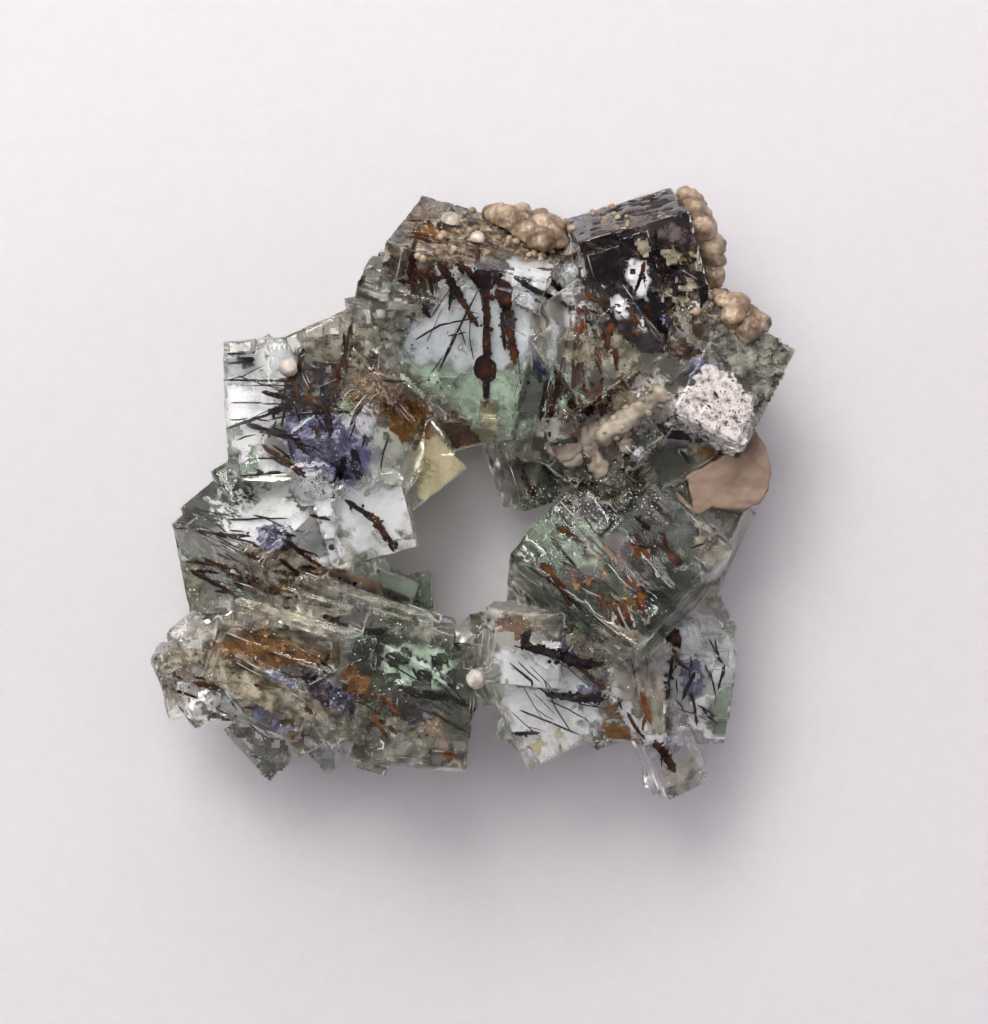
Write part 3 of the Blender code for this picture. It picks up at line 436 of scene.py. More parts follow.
# Small nodes whose surface is redone: node, look, slot, longest edge in mm, rounds of smoothing, how far
# it swells in mm to meet the crystals, and the height and size in mm of each set of lumps.
CRUST_LUMPS = ((0.16, 0.7), (0.14, 0.34), (0.08, 0.17))
ROUGH_SKINS = (
    ("crust_north", "crust", "crust", 0.15, 4, 0.15, CRUST_LUMPS),
    ("crust_northeast", "crust", "crust", 0.15, 4, 0.15, CRUST_LUMPS),
    ("crust_east", "crust", "crust", 0.15, 4, 0.15, CRUST_LUMPS),
    ("bead_north", "bead", "bead", 0.12, 2, 0.03, ((0.04, 0.4),)),
    ("bead_rim", "bead", "bead", 0.12, 2, 0.03, ((0.04, 0.4),)),
    ("bead_west", "bead", "bead", 0.12, 2, 0.03, ((0.06, 0.4), (0.03, 0.15))),
    ("bead_south", "bead", "bead", 0.12, 2, 0.03, ((0.06, 0.4), (0.03, 0.15))),
    ("calcite_chip", "chip", "calcite", 0.28, 1, 0.0, ((0.16, 0.8), (0.08, 0.35), (0.03, 0.15))),
)

# Grains on the small nodes: node and count. Patches of beads on the crystals: image place, radius in
# pixels and count.
CRUST_GRAINS = (("crust_north", 210), ("crust_northeast", 210), ("crust_east", 150),
                ("bead_north", 3), ("bead_rim", 3))
BEAD_PATCHES = (((470, 225), 16, 14), ((440, 245), 26, 16), ((535, 232), 30, 26), ((560, 226), 14, 14),
                ((612, 208), 20, 16), ((700, 300), 16, 16), ((745, 325), 14, 12), ((537, 252), 9, 8))
# Lumps of the same chalcedony that run on from its foot: image place and radius in mm.
STALK_FOOT = (((612, 424), 0.50), ((603, 432), 0.62), ((592, 438), 0.68), ((580, 440), 0.80),
              ((568, 447), 0.62), ((590, 450), 0.50), ((557, 450), 0.40), ((574, 457), 0.45),
              ((598, 464), 0.52), ((624, 446), 0.35))

# Threads strewn at random: kind, image place of the middle, radii in pixels, direction in degrees and
# its spread, count, then the ranges of length and thickness in pixels and of depth in mm.
STREWN = (
    ("black", (490, 320), (60, 50), 20, 90, 9, (20, 60), (0.9, 1.4), (0.06, 0.9)),
    ("black", (548, 690), (44, 44), -38, 25, 14, (20, 70), (0.9, 1.5), (0.06, 0.5)),
    ("black", (262, 420), (34, 60), 5, 22, 16, (14, 50), (1.0, 2.4), (0.06, 0.45)),
    ("black", (250, 690), (85, 45), -30, 30, 18, (10, 40), (1.2, 3.0), (0.06, 0.35)),
    ("black", (420, 700), (52, 40), -35, 28, 16, (12, 40), (1.2, 3.2), (0.06, 0.35)),
    ("black", (705, 690), (30, 48), -60, 40, 12, (12, 40), (1.2, 3.0), (0.06, 0.35)),
    ("black", (610, 560), (66, 60), -40, 40, 24, (12, 40), (1.4, 3.4), (0.06, 0.35)),
    ("black", (712, 405), (46, 42), 0, 90, 18, (5, 14), (1.5, 3.5), (0.06, 0.25)),
    ("black", (636, 275), (46, 44), -60, 50, 12, (10, 34), (1.6, 5.0), (0.06, 0.4)),
    ("black", (330, 430), (62, 52), -60, 60, 16, (12, 40), (1.5, 4.0), (0.06, 0.4)),
    ("black", (270, 755), (22, 28), -60, 40, 10, (12, 34), (1.0, 2.2), (0.06, 0.35)),
    ("black", (230, 545), (60, 50), -12, 25, 26, (14, 46), (1.2, 3.0), (0.06, 0.35)),
    ("rust", (430, 250), (60, 36), -60, 60, 30, (10, 34), (3.0, 7.0), (0.06, 0.32)),
    ("rust", (585, 390), (44, 52), -75, 25, 32, (12, 44), (2.5, 6.5), (0.06, 0.35)),
    ("rust", (255, 680), (85, 45), -25, 25, 20, (10, 36), (2.5, 6.0), (0.06, 0.3)),
    ("rust", (610, 560), (62, 60), -55, 25, 22, (12, 40), (3.0, 8.0), (0.06, 0.35)),
    ("rust", (636, 300), (56, 50), -60, 50, 16, (12, 40), (3.0, 7.0), (0.06, 0.35)),
    ("rust", (335, 400), (66, 54), -50, 60, 18, (12, 44), (2.0, 5.0), (0.06, 0.32)),
    ("rust", (262, 572), (75, 34), -24, 18, 26, (12, 50), (2.5, 6.0), (0.06, 0.3)),
    ("rust", (400, 720), (60, 36), -40, 30, 12, (10, 30), (2.5, 5.5), (0.06, 0.3)),
    ("rust", (655, 700), (40, 60), -75, 25, 14, (10, 34), (2.0, 5.0), (0.06, 0.3)),
    ("rust", (740, 370), (40, 60), 0, 90, 14, (6, 20), (2.0, 5.0), (0.06, 0.25)),
)
# Grains: kind, image place of the middle, radii in pixels, count, range of sizes in mm, depth in mm.
# Below 0 they sit on the surface.
GRAINS = (
    # Sparkle grains: pale dust on the surface, whose near-white colour also paints the surface's small
    # glints.
    ("sparkle", (590, 502), (72, 26), 320, (0.012, 0.045), -0.01),
    ("sparkle", (548, 535), (34, 30), 60, (0.012, 0.04), -0.01),
    ("sparkle", (515, 620), (26, 40), 70, (0.012, 0.045), -0.01),
    ("sparkle", (550, 690), (46, 50), 60, (0.012, 0.04), -0.01),
    ("sparkle", (330, 420), (70, 70), 120, (0.012, 0.04), -0.01),
    ("sparkle", (400, 520), (40, 50), 80, (0.012, 0.04), -0.01),
    ("sparkle", (440, 360), (60, 50), 160, (0.012, 0.04), -0.01),
    ("sparkle", (300, 640), (150, 90), 420, (0.012, 0.045), -0.01),
    ("sparkle", (230, 530), (60, 60), 80, (0.012, 0.04), -0.01),
    ("sparkle", (600, 430), (60, 50), 120, (0.012, 0.045), -0.01),
    ("sparkle", (690, 520), (60, 40), 70, (0.012, 0.04), -0.01),
    ("sparkle", (650, 680), (70, 80), 120, (0.012, 0.045), -0.01),
    ("speck", (712, 412), (40, 32), 160, (0.02, 0.07), 0.03),
    ("speck", (325, 488), (30, 12), 90, (0.03, 0.08), 0.10),
    ("speck", (440, 250), (70, 34), 160, (0.04, 0.12), 0.10),
    ("speck", (640, 270), (60, 50), 200, (0.05, 0.16), 0.15),
    ("speck", (380, 380), (60, 60), 200, (0.02, 0.07), 0.05),
    ("speck", (560, 650), (50, 14), 60, (0.02, 0.06), 0.10),
    ("speck", (250, 690), (90, 50), 200, (0.03, 0.09), 0.10),
    ("speck", (600, 420), (60, 60), 200, (0.03, 0.09), 0.10),
    ("speck", (620, 570), (60, 50), 120, (0.03, 0.08), 0.10),
    ("speck", (760, 380), (34, 60), 150, (0.03, 0.09), 0.08),
)

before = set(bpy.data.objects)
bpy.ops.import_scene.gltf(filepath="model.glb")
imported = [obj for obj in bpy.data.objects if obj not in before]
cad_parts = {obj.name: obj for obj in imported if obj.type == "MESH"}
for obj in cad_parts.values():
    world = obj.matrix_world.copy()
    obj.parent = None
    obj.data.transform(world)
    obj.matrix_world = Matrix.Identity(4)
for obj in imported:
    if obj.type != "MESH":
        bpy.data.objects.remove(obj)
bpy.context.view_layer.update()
rng = random.Random(7)


# ---------------------------------------------------------------- where things are
def surface_of(name):
    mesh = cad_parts[name].data
    points = [v.co / MM for v in mesh.vertices]
    return BVHTree.FromPolygons(points, [tuple(p.vertices) for p in mesh.polygons])


CLUSTER = surface_of("fluorite_cluster")


def sight(px, py):
    """The direction of the line of sight through an image place."""
    across, along = px - IMAGE_CENTRE[0], IMAGE_CENTRE[1] - py
    return Vector((across / FOCAL_PIXELS, along / FOCAL_PIXELS, -1)).normalized()


def pixel_of(point):
    away = EYE.z - point.z
    return (IMAGE_CENTRE[0] + (point.x - EYE.x) * FOCAL_PIXELS / away,
            IMAGE_CENTRE[1] - (point.y - EYE.y) * FOCAL_PIXELS / away)


def top_at(px, py):
    """(place, normal) where the line of sight through an image place meets the crystals, or None."""
    place, normal, _, _ = CLUSTER.ray_cast(EYE, sight(px, py))
    return None if place is None else (place, normal)


def bent(direction, normal, ratio):
    """The direction of a ray after it goes through a surface with that ratio of the two IORs."""
    cosine = -normal.dot(direction)
    root = 1 - ratio * ratio * (1 - cosine * cosine)
    return (direction * ratio + normal * (ratio * cosine - math.sqrt(max(root, 0)))).normalized()


def sunk(px, py, depth):
    """The point inside the crystals that shows at an image place, at that depth along the bent ray."""
    met = top_at(px, py)
    if met is None:
        return None
    place, normal = met
    inward = bent(sight(px, py), normal, 1 / FLUORITE_IOR)
    _, _, _, room = CLUSTER.ray_cast(place + inward * PAST_SURFACE, inward)
    if room is not None:
        depth = min(depth, room * ROOM_SHARE)
    return place + inward * depth


def drawn_in(point, skin=SKIN):
    """The point, moved into the crystals where it is outside them or too near their surface."""
    near, normal, _, away = CLUSTER.find_nearest(point)
    if (point - near).dot(normal) > 0 or away < skin:
        return near - normal * skin
    return point


# ---------------------------------------------------------------- shapes
BALL_DETAILS = (2, 3)
OCTAHEDRON = ([Vector(p) for p in ((1, 0, 0), (-1, 0, 0), (0, 1, 0), (0, -1, 0), (0, 0, 1), (0, 0, -1))],
              [(0, 2, 4), (2, 1, 4), (1, 3, 4), (3, 0, 4), (2, 0, 5), (1, 2, 5), (3, 1, 5), (0, 3, 5)])
TUBE_UP = Vector((0.31, 0.17, 0.93))    # a direction that no tube follows
LEAST_STEP = 1e-6
# Tubes and balls: the scale of their unevenness, and what keeps that of two sides or two balls apart.
TUBE_ROUGH_SCALE, SIDE_SALT, BALL_SALT = 2.3, 1.7, 3.1


def ball_of(detail):
    made = bmesh.new()
    bmesh.ops.create_icosphere(made, subdivisions=detail, radius=1.0)
    points = [v.co.copy() for v in made.verts]
    faces = [tuple(v.index for v in f.verts) for f in made.faces]
    made.free()
    return points, faces


BALLS = {detail: ball_of(detail) for detail in BALL_DETAILS}


def scaled(point, radii):
    return Vector((point.x * radii[0], point.y * radii[1], point.z * radii[2]))


class Heap:
    """A mesh that many small closed shapes are added to. Lengths are in mm."""

    def __init__(self):
        self.points = []
        self.faces = []
        self.covers = []

    def add(self, points, faces, covers=()):
        start = len(self.points)
        self.points.extend(points)
        self.faces.extend(tuple(i + start for i in face) for face in faces)
        self.covers.extend(covers)

    def tube(self, line, radii, sides=7, rough=0.0):
        """A closed tube along the line. rough makes its outline uneven by that share."""
        if len(line) < 2:
            return
        points, faces = [], []
        for i, point in enumerate(line):
            ahead = (line[min(i + 1, len(line) - 1)] - line[max(i - 1, 0)])
            if ahead.length < LEAST_STEP:
                ahead = Vector((1, 0, 0))
            ahead.normalize()
            side = ahead.cross(TUBE_UP).normalized()
            over = side.cross(ahead)
            for k in range(sides):
                turn = math.tau * k / sides
                reach = radii[i]
                if rough:
                    reach *= 1 + rough * noise.noise(point * TUBE_ROUGH_SCALE + Vector((k * SIDE_SALT, 0, 0)))
                points.append(point + (side * math.cos(turn) + over * math.sin(turn)) * reach)
        for i in range(len(line) - 1):
            for k in range(sides):
                a, b = i * sides + k, i * sides + (k + 1) % sides
                faces.append((a, b, b + sides, a + sides))
        faces.append(tuple(reversed(range(sides))))
        faces.append(tuple(range(len(points) - sides, len(points))))
        self.add(points, faces)

    def blob(self, centre, radii, turn=None, lumps=0.0, grain=1.0, detail=2, fit=None):
        """A lumpy ball. fit moves each point, such as drawn_in."""
        points, faces = BALLS[detail]
        turn = turn or Matrix.Identity(3)
        placed = []
        for p in points:
            reach = 1 + lumps * noise.noise(p * grain + centre * BALL_SALT) if lumps else 1
            q = centre + turn @ scaled(p, radii) * reach
            placed.append(fit(q) if fit else q)
        self.add(placed, faces)

    def grain(self, centre, size):
        """A small crystal turned and stretched at random."""
        points, faces = OCTAHEDRON
        angle = rng.uniform(0, math.tau)
        axis = Vector([rng.gauss(0, 1) for _ in range(3)]).normalized()
        turn = Matrix.Rotation(angle, 3, axis)
        stretch = [size * rng.uniform(0.6, 1.4) for _ in range(3)]
        self.add([centre + turn @ scaled(p, stretch) for p in points], faces)

    def piece(self, name, look, slot="fluorite", smooth=False):
        mesh = bpy.data.meshes.new(name)
        mesh.from_pydata([p * MM for p in self.points], [], self.faces)
        if self.covers:
            mesh.attributes.new("cover", "FLOAT", "POINT").data.foreach_set("value", self.covers)
        mesh.validate()
        mesh.materials.append(look)
        if smooth:
            mesh.polygons.foreach_set("use_smooth", [True] * len(mesh.polygons))
        made = bpy.data.objects.new(name, mesh)
        bpy.context.scene.collection.objects.link(made)
        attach(made, "root")
        return made


# ---------------------------------------------------------------- threads, lumps and grains
THREAD_STEP = 4.5      # pixels between two points of a thread
GRAINY = 3.0           # threads thicker than this, in pixels, carry grains
GRAINS_A_POINT = 4
TIP, TIP_SLOPE = 0.35, 6     # a thread starts at this share of its thickness, and how fast it grows
TOO_SHALLOW, SUNK_AGAIN = 0.5, 0.7    # above this share of its depth, a thread is sunk to the other
STREWN_ROUGH = 2.5     # strewn black threads thicker than this, in pixels, are uneven
STREWN_BEND = 0.12     # the most that a strewn thread bends, as a share of its half length
LUMP_SINK, LUMP_THICKNESS = 0.4, 0.7    # shares of a lump's smaller radius


def spans(places):
    """Points every few pixels along the line through these image places, with how far along each is."""
    lengths = [math.dist(a, b) for a, b in zip(places, places[1:])]
    total, done, points = sum(lengths), 0.0, []
    for (a, b), length in zip(zip(places, places[1:]), lengths):
        steps = max(1, round(length / THREAD_STEP))
        for step in range(steps):
            t = step / steps
            points.append(((a[0] + (b[0] - a[0]) * t, a[1] + (b[1] - a[1]) * t), (done + length * t) / total))
        done += length
    return points + [(places[-1], 1.0)]


def thread_line(places, depth):
    """The points of a thread inside the crystals: straight where it can be, and under the surface."""
    ends = [sunk(*place, depth) for place in places]
    if any(end is None for end in ends):
        return [], []
    turns = [0.0]
    for a, b in zip(places, places[1:]):
        turns.append(turns[-1] + math.dist(a, b))
    points, along = [], []
    for place, t in spans(places):
        at = t * turns[-1]
        part = min(max(i for i, turn in enumerate(turns) if turn <= at + LEAST_STEP), len(ends) - 2)
        share = (at - turns[part]) / (turns[part + 1] - turns[part])
        point = ends[part].lerp(ends[part + 1], share)
        met = top_at(*place)
        if met is not None and point.z > met[0].z - depth * TOO_SHALLOW:
            point = sunk(*place, depth * SUNK_AGAIN) or point
        points.append(drawn_in(point))
        along.append(t)
    return points, along


def add_threads(heap, threads, rough):
    for first, last, depth, *places in threads:
        line, along = thread_line(places, depth)
        taper = [min(1.0, TIP + TIP_SLOPE * t, TIP + TIP_SLOPE * (1 - t)) for t in along]
        radii = [(first + (last - first) * t) / 2 / PIXELS_PER_MM * k for t, k in zip(along, taper)]
        heap.tube(line, radii, rough=rough)
        if max(first, last) < GRAINY:
            continue
        for point, radius in zip(line, radii):
            for _ in range(GRAINS_A_POINT):
                off = Vector([rng.gauss(0, 0.7) for _ in range(3)]) * radius
                heap.grain(drawn_in(point + off, GRAIN_SKIN), radius * rng.uniform(0.35, 0.8))


def add_lumps(heap, lumps, rough=0.5):
    for (px, py), across, along, depth in lumps:
        least = min(across, along)
        centre = sunk(px, py, depth + LUMP_SINK * least / PIXELS_PER_MM)
        if centre is None:
            continue
        radii = (across / PIXELS_PER_MM, along / PIXELS_PER_MM, LUMP_THICKNESS * least / PIXELS_PER_MM)
        heap.blob(centre, radii, lumps=rough, grain=1.4, detail=3, fit=drawn_in)


def strewn_place(middle, radii):
    turn, reach = rng.uniform(0, math.tau), math.sqrt(rng.random())
    return middle[0] + radii[0] * reach * math.cos(turn), middle[1] + radii[1] * reach * math.sin(turn)


def strew_threads(heaps):
    for kind, middle, radii, direction, spread, count, lengths, widths, depths in STREWN:
        for _ in range(count):
            px, py = strewn_place(middle, radii)
            turn = math.radians(direction + rng.uniform(-spread, spread))
            half = rng.uniform(*lengths) / 2
            width, depth = rng.uniform(*widths), rng.uniform(*depths)
            bend = rng.uniform(-STREWN_BEND, STREWN_BEND)
            dx, dy = half * math.cos(turn), -half * math.sin(turn)
            places = [(px - dx, py - dy), (px - dy * bend, py + dx * bend), (px + dx, py + dy)]
            add_threads(heaps[kind], [(width, width * rng.uniform(0.5, 1.1), depth, *places)],
                        rough=0.5 if kind == "rust" or width > STREWN_ROUGH else 0.1)


def strew_grains(heaps):
    for kind, middle, radii, count, sizes, depth in GRAINS:
        for _ in range(count):
            point = sunk(*strewn_place(middle, radii), max(depth, 0.0))
            size = rng.uniform(*sizes)
            if point is not None:
                if depth > 0:
                    point = drawn_in(point, size)
                heaps[kind].grain(point, size)


# ---------------------------------------------------------------- films
FILM_STEP = 2.8       # pixels between two points of a film
FILM_THICKNESS = 0.03
FILM_JUMP = 0.9       # the most that a film steps down between two points, in mm
SALT_STEP = 3.7       # how far apart the noise of two films is read
# The mottle that eats into a film: its two sizes as shares of the rim, and its two strengths.
COARSE, FINE, COARSE_SHARE, FINE_SHARE = 0.8, 2.2, 0.7, 0.3
FADE = 0.22           # how much mottle there is between a film's full parts and its holes
# How far the mottle moves a film's rim, how far out the rim starts and how wide it is, in rim widths.
RIM_TEAR, RIM_OUT, RIM_FADE = 1.3, 0.45, 1.2
HOLE_TEAR = 1.1       # how much of the mottle counts for the holes


def inside(px, py, outline):
    """How far an image place is inside an outline, in pixels; below zero outside."""
    within, nearest = False, math.inf
    for (ax, ay), (bx, by) in zip(outline, outline[1:] + outline[:1]):
        if (ay > py) != (by > py) and px < ax + (py - ay) / (by - ay) * (bx - ax):
            within = not within
        length = (bx - ax) ** 2 + (by - ay) ** 2
        t = min(1.0, max(0.0, ((px - ax) * (bx - ax) + (py - ay) * (by - ay)) / length))
        nearest = min(nearest, math.dist((px, py), (ax + (bx - ax) * t, ay + (by - ay) * t)))
    return nearest if within else -nearest


def film_grid(fill, rim, outline, salt):
    """The grid points of a film as {(column, row): (image place, cover)}; cover fades to 0 at its rim."""
    left, right = min(x for x, _ in outline) - rim, max(x for x, _ in outline) + rim
    low, high = min(y for _, y in outline) - rim, max(y for _, y in outline) + rim
    found = {}
    for column in range(int((right - left) / FILM_STEP) + 1):
        for row in range(int((high - low) / FILM_STEP) + 1):
            px, py = left + column * FILM_STEP, low + row * FILM_STEP
            mottle = noise.noise(Vector((px / rim * COARSE, py / rim * COARSE, salt))) * COARSE_SHARE
            mottle += noise.noise(Vector((px / rim * FINE, py / rim * FINE, salt + 5))) * FINE_SHARE
            edge = (inside(px, py, outline) / rim + mottle * RIM_TEAR + RIM_OUT) / RIM_FADE
            held = (fill + 0.05 - (mottle * HOLE_TEAR + 0.5)) / FADE + 0.5
            cover = min(1.0, edge, held)
            if cover > 0.0:
                found[column, row] = ((px, py), cover)
    return found


def add_film(heap, depth, fill, rim, outline, salt):
    """Adds a thin closed shell that follows the surface above it at that depth."""
    found = {}
    for corner, (place, cover) in film_grid(fill, rim, outline, salt).items():
        point = sunk(*place, depth)
        if point is not None:
            found[corner] = (drawn_in(point, THIN_SKIN), cover)
    kept = []
    for column, row in found:
        corners = [(column, row), (column, row + 1), (column + 1, row + 1), (column + 1, row)]
        if all(corner in found for corner in corners):
            heights = [found[corner][0].z for corner in corners]
            if max(heights) - min(heights) < FILM_JUMP:
                kept.append(corners)
    rims = set()
    for corners in kept:
        for edge in zip(corners, corners[1:] + corners[:1]):
            if edge[::-1] in rims:
                rims.discard(edge[::-1])
            else:
                rims.add(edge)
    used = sorted({corner for corners in kept for corner in corners})
    index = {corner: i for i, corner in enumerate(used)}
    top = [found[corner][0] for corner in used]
    bottom = [point - Vector((0, 0, FILM_THICKNESS)) for point in top]
    faces = []
    for corners in kept:
        ring = [index[corner] for corner in corners]
        faces.append(tuple(ring))
        faces.append(tuple(i + len(used) for i in reversed(ring)))
    for a, b in sorted(rims):
        faces.append((index[b], index[a], index[a] + len(used), index[b] + len(used)))
    heap.add(top + bottom, faces, [found[corner][1] for corner in used] * 2)


# ---------------------------------------------------------------- the crystals' surface
LONGEST_EDGE = 0.56    # in the crystals' fine mesh, in mm
MOST_ROUNDS = 8        # rounds of cutting edges in half
# Edges over these angles, in degrees, stay sharp on the crystals and on the small nodes.
SHARP, ROUGH_SHARP = 38, 50
FINE_GROOVES, FINE_GROOVE_SCALE, GROOVE_TOP = 0.35, 2.3, 0.85
WOBBLE = 0.03          # unevenness of every face, in mm
WOBBLE_SIZE, FINE_WOBBLE_SIZE, FINE_WOBBLE, WOBBLE_TOP = 1.4, 0.5, 0.6, 0.35
PATCH_SIZE, FINE_PATCH_SIZE = 3.8, 1.1    # of the etched patches, in mm
LEAST_ETCHED, MOST_ETCHED = 0.05, 0.4
FOOT_HEIGHT = 0.1      # up to here, in mm, the surface stays as it is, so that the feet are flat


def groove_height(point, weights):
    """How far the grooves move the surface along its normal there, in mm: mostly inwards."""
    height = 0.0
    for (_, _, turn, stretch, width, reach), weight in weights:
        along = Matrix.Rotation(math.radians(turn), 3, "Z") @ point
        at = Vector((along.x / stretch, along.y, along.z)) / width
        value = 1 - 2 * abs(noise.noise(at)) - FINE_GROOVES * abs(noise.noise(at * FINE_GROOVE_SCALE))
        height += weight * reach * (value - GROOVE_TOP)
    return height


def wobble(point):
    """How far the surface's unevenness moves it along its normal there, in mm."""
    coarse = WOBBLE * (noise.noise(point / WOBBLE_SIZE) - WOBBLE_TOP)
    return coarse + WOBBLE * FINE_WOBBLE * noise.noise(point / FINE_WOBBLE_SIZE)


def etching(point, zone):
    """The roughness of the surface there. It is patchy, and zone adds to it where the grooves are."""
    patch = noise.noise(point / PATCH_SIZE) + 0.5 * noise.noise(point / FINE_PATCH_SIZE)
    return min(MOST_ETCHED, max(LEAST_ETCHED, 0.10 + 0.18 * patch) + zone * max(0.0, 0.13 + 0.20 * patch))


def relief_at(point):
    """The rows of RELIEF that reach a point, each with its weight there."""
    weights = []
    for entry in RELIEF:
        away = math.dist(pixel_of(point), entry[0]) / entry[1]
        if away < 1:
            weights.append((entry, (1 - away * away) ** 1.5))
    return weights


def fine_mesh(name, longest):
    """The mesh of a node in mm, with its edges cut until none is longer than that."""
    made = bmesh.new()
    made.from_mesh(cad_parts[name].data)
    bmesh.ops.scale(made, vec=Vector((1, 1, 1)) / MM, verts=made.verts)
    bmesh.ops.remove_doubles(made, verts=made.verts, dist=WELD)
    for _ in range(MOST_ROUNDS):
        long = [edge for edge in made.edges if edge.calc_length() > longest]
        if not long:
            break
        bmesh.ops.subdivide_edges(made, edges=long, cuts=1)
        bmesh.ops.triangulate(made, faces=[face for face in made.faces if len(face.verts) > 3])
    made.normal_update()
    return made


def smoothed(made, verts, factor):
    bmesh.ops.smooth_vert(made, verts=verts, factor=factor, use_axis_x=True, use_axis_y=True, use_axis_z=True)


def skin_piece(made, name, replaced, look, slot, sharp):
    """The finished mesh as a piece in place of a node. Edges over the angle sharp, in degrees, stay sharp."""
    bmesh.ops.scale(made, vec=Vector((1, 1, 1)) * MM, verts=made.verts)
    mesh = bpy.data.meshes.new(name)
    made.to_mesh(mesh)
    made.free()
    mesh.materials.append(look)
    mesh.polygons.foreach_set("use_smooth", [True] * len(mesh.polygons))
    mesh.set_sharp_from_angle(angle=math.radians(sharp))
    skin = bpy.data.objects.new(name, mesh)
    bpy.context.scene.collection.objects.link(skin)
    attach(skin, "root")
    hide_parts(replaced)


def crystal_skin():
    """The cluster with the fine grooves and unevenness of its surface, in place of the plain node."""
    made = fine_mesh("fluorite_cluster", LONGEST_EDGE)
    etched = made.verts.layers.float.new("etched")
    moves = {}
    for vert in made.verts:
        weights = relief_at(vert.co)
        vert[etched] = etching(vert.co, min(1.0, sum(weight for _, weight in weights)))
        if vert.co.z > FOOT_HEIGHT:
            moves[vert] = vert.normal * (groove_height(vert.co, weights) + wobble(vert.co))
    for vert, move in moves.items():
        vert.co += move
    smoothed(made, list(moves), 0.3)
    skin_piece(made, "fluorite_crystals", "fluorite_cluster", LOOKS["fluorite"], "fluorite", SHARP)


def rough_skins():
    """The small mineral nodes with the lumps and pits of their surface, in place of the plain ones."""
    for name, look, slot, longest, rounds, swell, lumps in ROUGH_SKINS:
        made = fine_mesh(name, longest)
        for _ in range(rounds):
            smoothed(made, made.verts, 0.5)
        made.normal_update()
        for vert, normal in [(vert, vert.normal.copy()) for vert in made.verts]:
            vert.co += normal * (swell + sum(height * noise.noise(vert.co / size) for height, size in lumps))
        skin_piece(made, name + "_rough", name, LOOKS[look], slot, ROUGH_SHARP)


# ---------------------------------------------------------------- crust and stalk
CRUST_GRAIN_SIZES = (0.06, 0.24, 0.10)    # least, most and usual radius, in mm
CRUST_SINK, BEAD_SINK = 0.6, 0.2    # how far the middles of grains and beads lie in, in radii
BEAD_SIZES = (0.10, 0.30)
STALK_RADIUS = 0.66    # in mm
STALK_RINGS = 44
STALK_END = (0.7, 0.7, 0.8)    # how far its end is from the corner of its box, in radii
STALK_CAP = 0.10       # the share of its length over which each end of the stalk rounds off
STALK_KNOBS = 12
KNOB_SIZES = (0.10, 0.26)
ACROSS_STALK = Vector((0.6, -0.8, 0))
UP = Vector((0, 0, 1))


def surface_samples(name, count):
    """Random (place, normal) pairs on a CAD node, in mm, spread by area."""
    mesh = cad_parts[name].data
    mesh.calc_loop_triangles()
    corners = [[mesh.vertices[i].co / MM for i in tri.vertices] for tri in mesh.loop_triangles]
    areas = [(b - a).cross(c - a).length for a, b, c in corners]
    for a, b, c in rng.choices(corners, weights=areas, k=count):
        u, v = sorted((rng.random(), rng.random()))
        yield a * u + b * (v - u) + c * (1 - v), (b - a).cross(c - a).normalized()


def crust_grains():
    heap = Heap()
    for name, count in CRUST_GRAINS:
        for place, normal in surface_samples(name, count):
            size = rng.triangular(*CRUST_GRAIN_SIZES)
            heap.blob(place - normal * size * CRUST_SINK, (size, size, size * 0.9), lumps=0.08, grain=1.5)
    for middle, reach, count in BEAD_PATCHES:
        for _ in range(count):
            met = top_at(*strewn_place(middle, (reach, reach)))
            if met is not None:
                size = rng.uniform(*BEAD_SIZES)
                heap.blob(met[0] - met[1] * size * BEAD_SINK, (size, size, size), lumps=0.2, grain=1.5)
    heap.piece("crust_grains", LOOKS["crust"], slot="crust", smooth=True)


def end_share(t):
    """The share of its radius that the stalk has at t of its length from an end."""
    return min(1.0, math.sqrt(max(0.02, 1 - (1 - min(1, t / STALK_CAP)) ** 2)))


def stalk_radius(point, t):
    head = 0.08 * math.exp(-((t - 0.08) / 0.08) ** 2)
    swell = 0.92 + 0.34 * noise.noise(point * 0.9) + 0.16 * noise.noise(point * 2.9) + head
    return STALK_RADIUS * swell * end_share(t) * end_share(1 - t)


def stalk():
    """A knobbly stalk of chalcedony along the line of its node."""
    low, high = (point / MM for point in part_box("chalcedony_stalk"))
    start = Vector([place - STALK_RADIUS for place in high])
    end = Vector([place + STALK_RADIUS * share for place, share in zip(low, STALK_END)])
    shares = [i / STALK_RINGS for i in range(STALK_RINGS + 1)]
    line = [start.lerp(end, t) for t in shares]
    heap = Heap()
    heap.tube(line, [stalk_radius(point, t) for point, t in zip(line, shares)], sides=20, rough=0.35)
    for _ in range(STALK_KNOBS):
        t = rng.random()
        turn = rng.uniform(0, math.pi)
        side = ACROSS_STALK * math.cos(turn) + UP * math.sin(turn)
        size = rng.uniform(*KNOB_SIZES)
        heap.blob(start.lerp(end, t) + side * (STALK_RADIUS - size * 0.3), (size, size, size), lumps=0.2)
    made = heap.piece("stalk_knobbly", LOOKS["stalk"], slot="stalk", smooth=True)
    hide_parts("chalcedony_stalk")


def stalk_foot():
    """The lumps that the stalk grows from."""
    foot = Heap()
    for place, size in STALK_FOOT:
        met = top_at(*place)
        if met is not None:
            radii = (size * 1.45, size * 1.45, size * 0.95)
            foot.blob(met[0] - met[1] * size * 0.5, radii, lumps=0.55, grain=1.7, detail=3)
    foot.piece("stalk_foot", LOOKS["stalk"], slot="stalk", smooth=True)


# ---------------------------------------------------------------- chipped edges and painted edge highlights
EDGE_LENGTH = 0.5      # shorter edges aren't given a pale line, in mm
EDGE_HEIGHT = 0.5      # nor are lower ones
EDGE_ANGLE = 35        # nor blunter ones, in degrees
EDGE_STEP = 0.22       # between two points of a worn line, in mm
EDGE_SINK = Vector((0, 0, 0.05))
LEAST_EDGE_LINE, MOST_EDGE_LINE = 0.012, 0.03    # the radius of a pale edge line, in mm
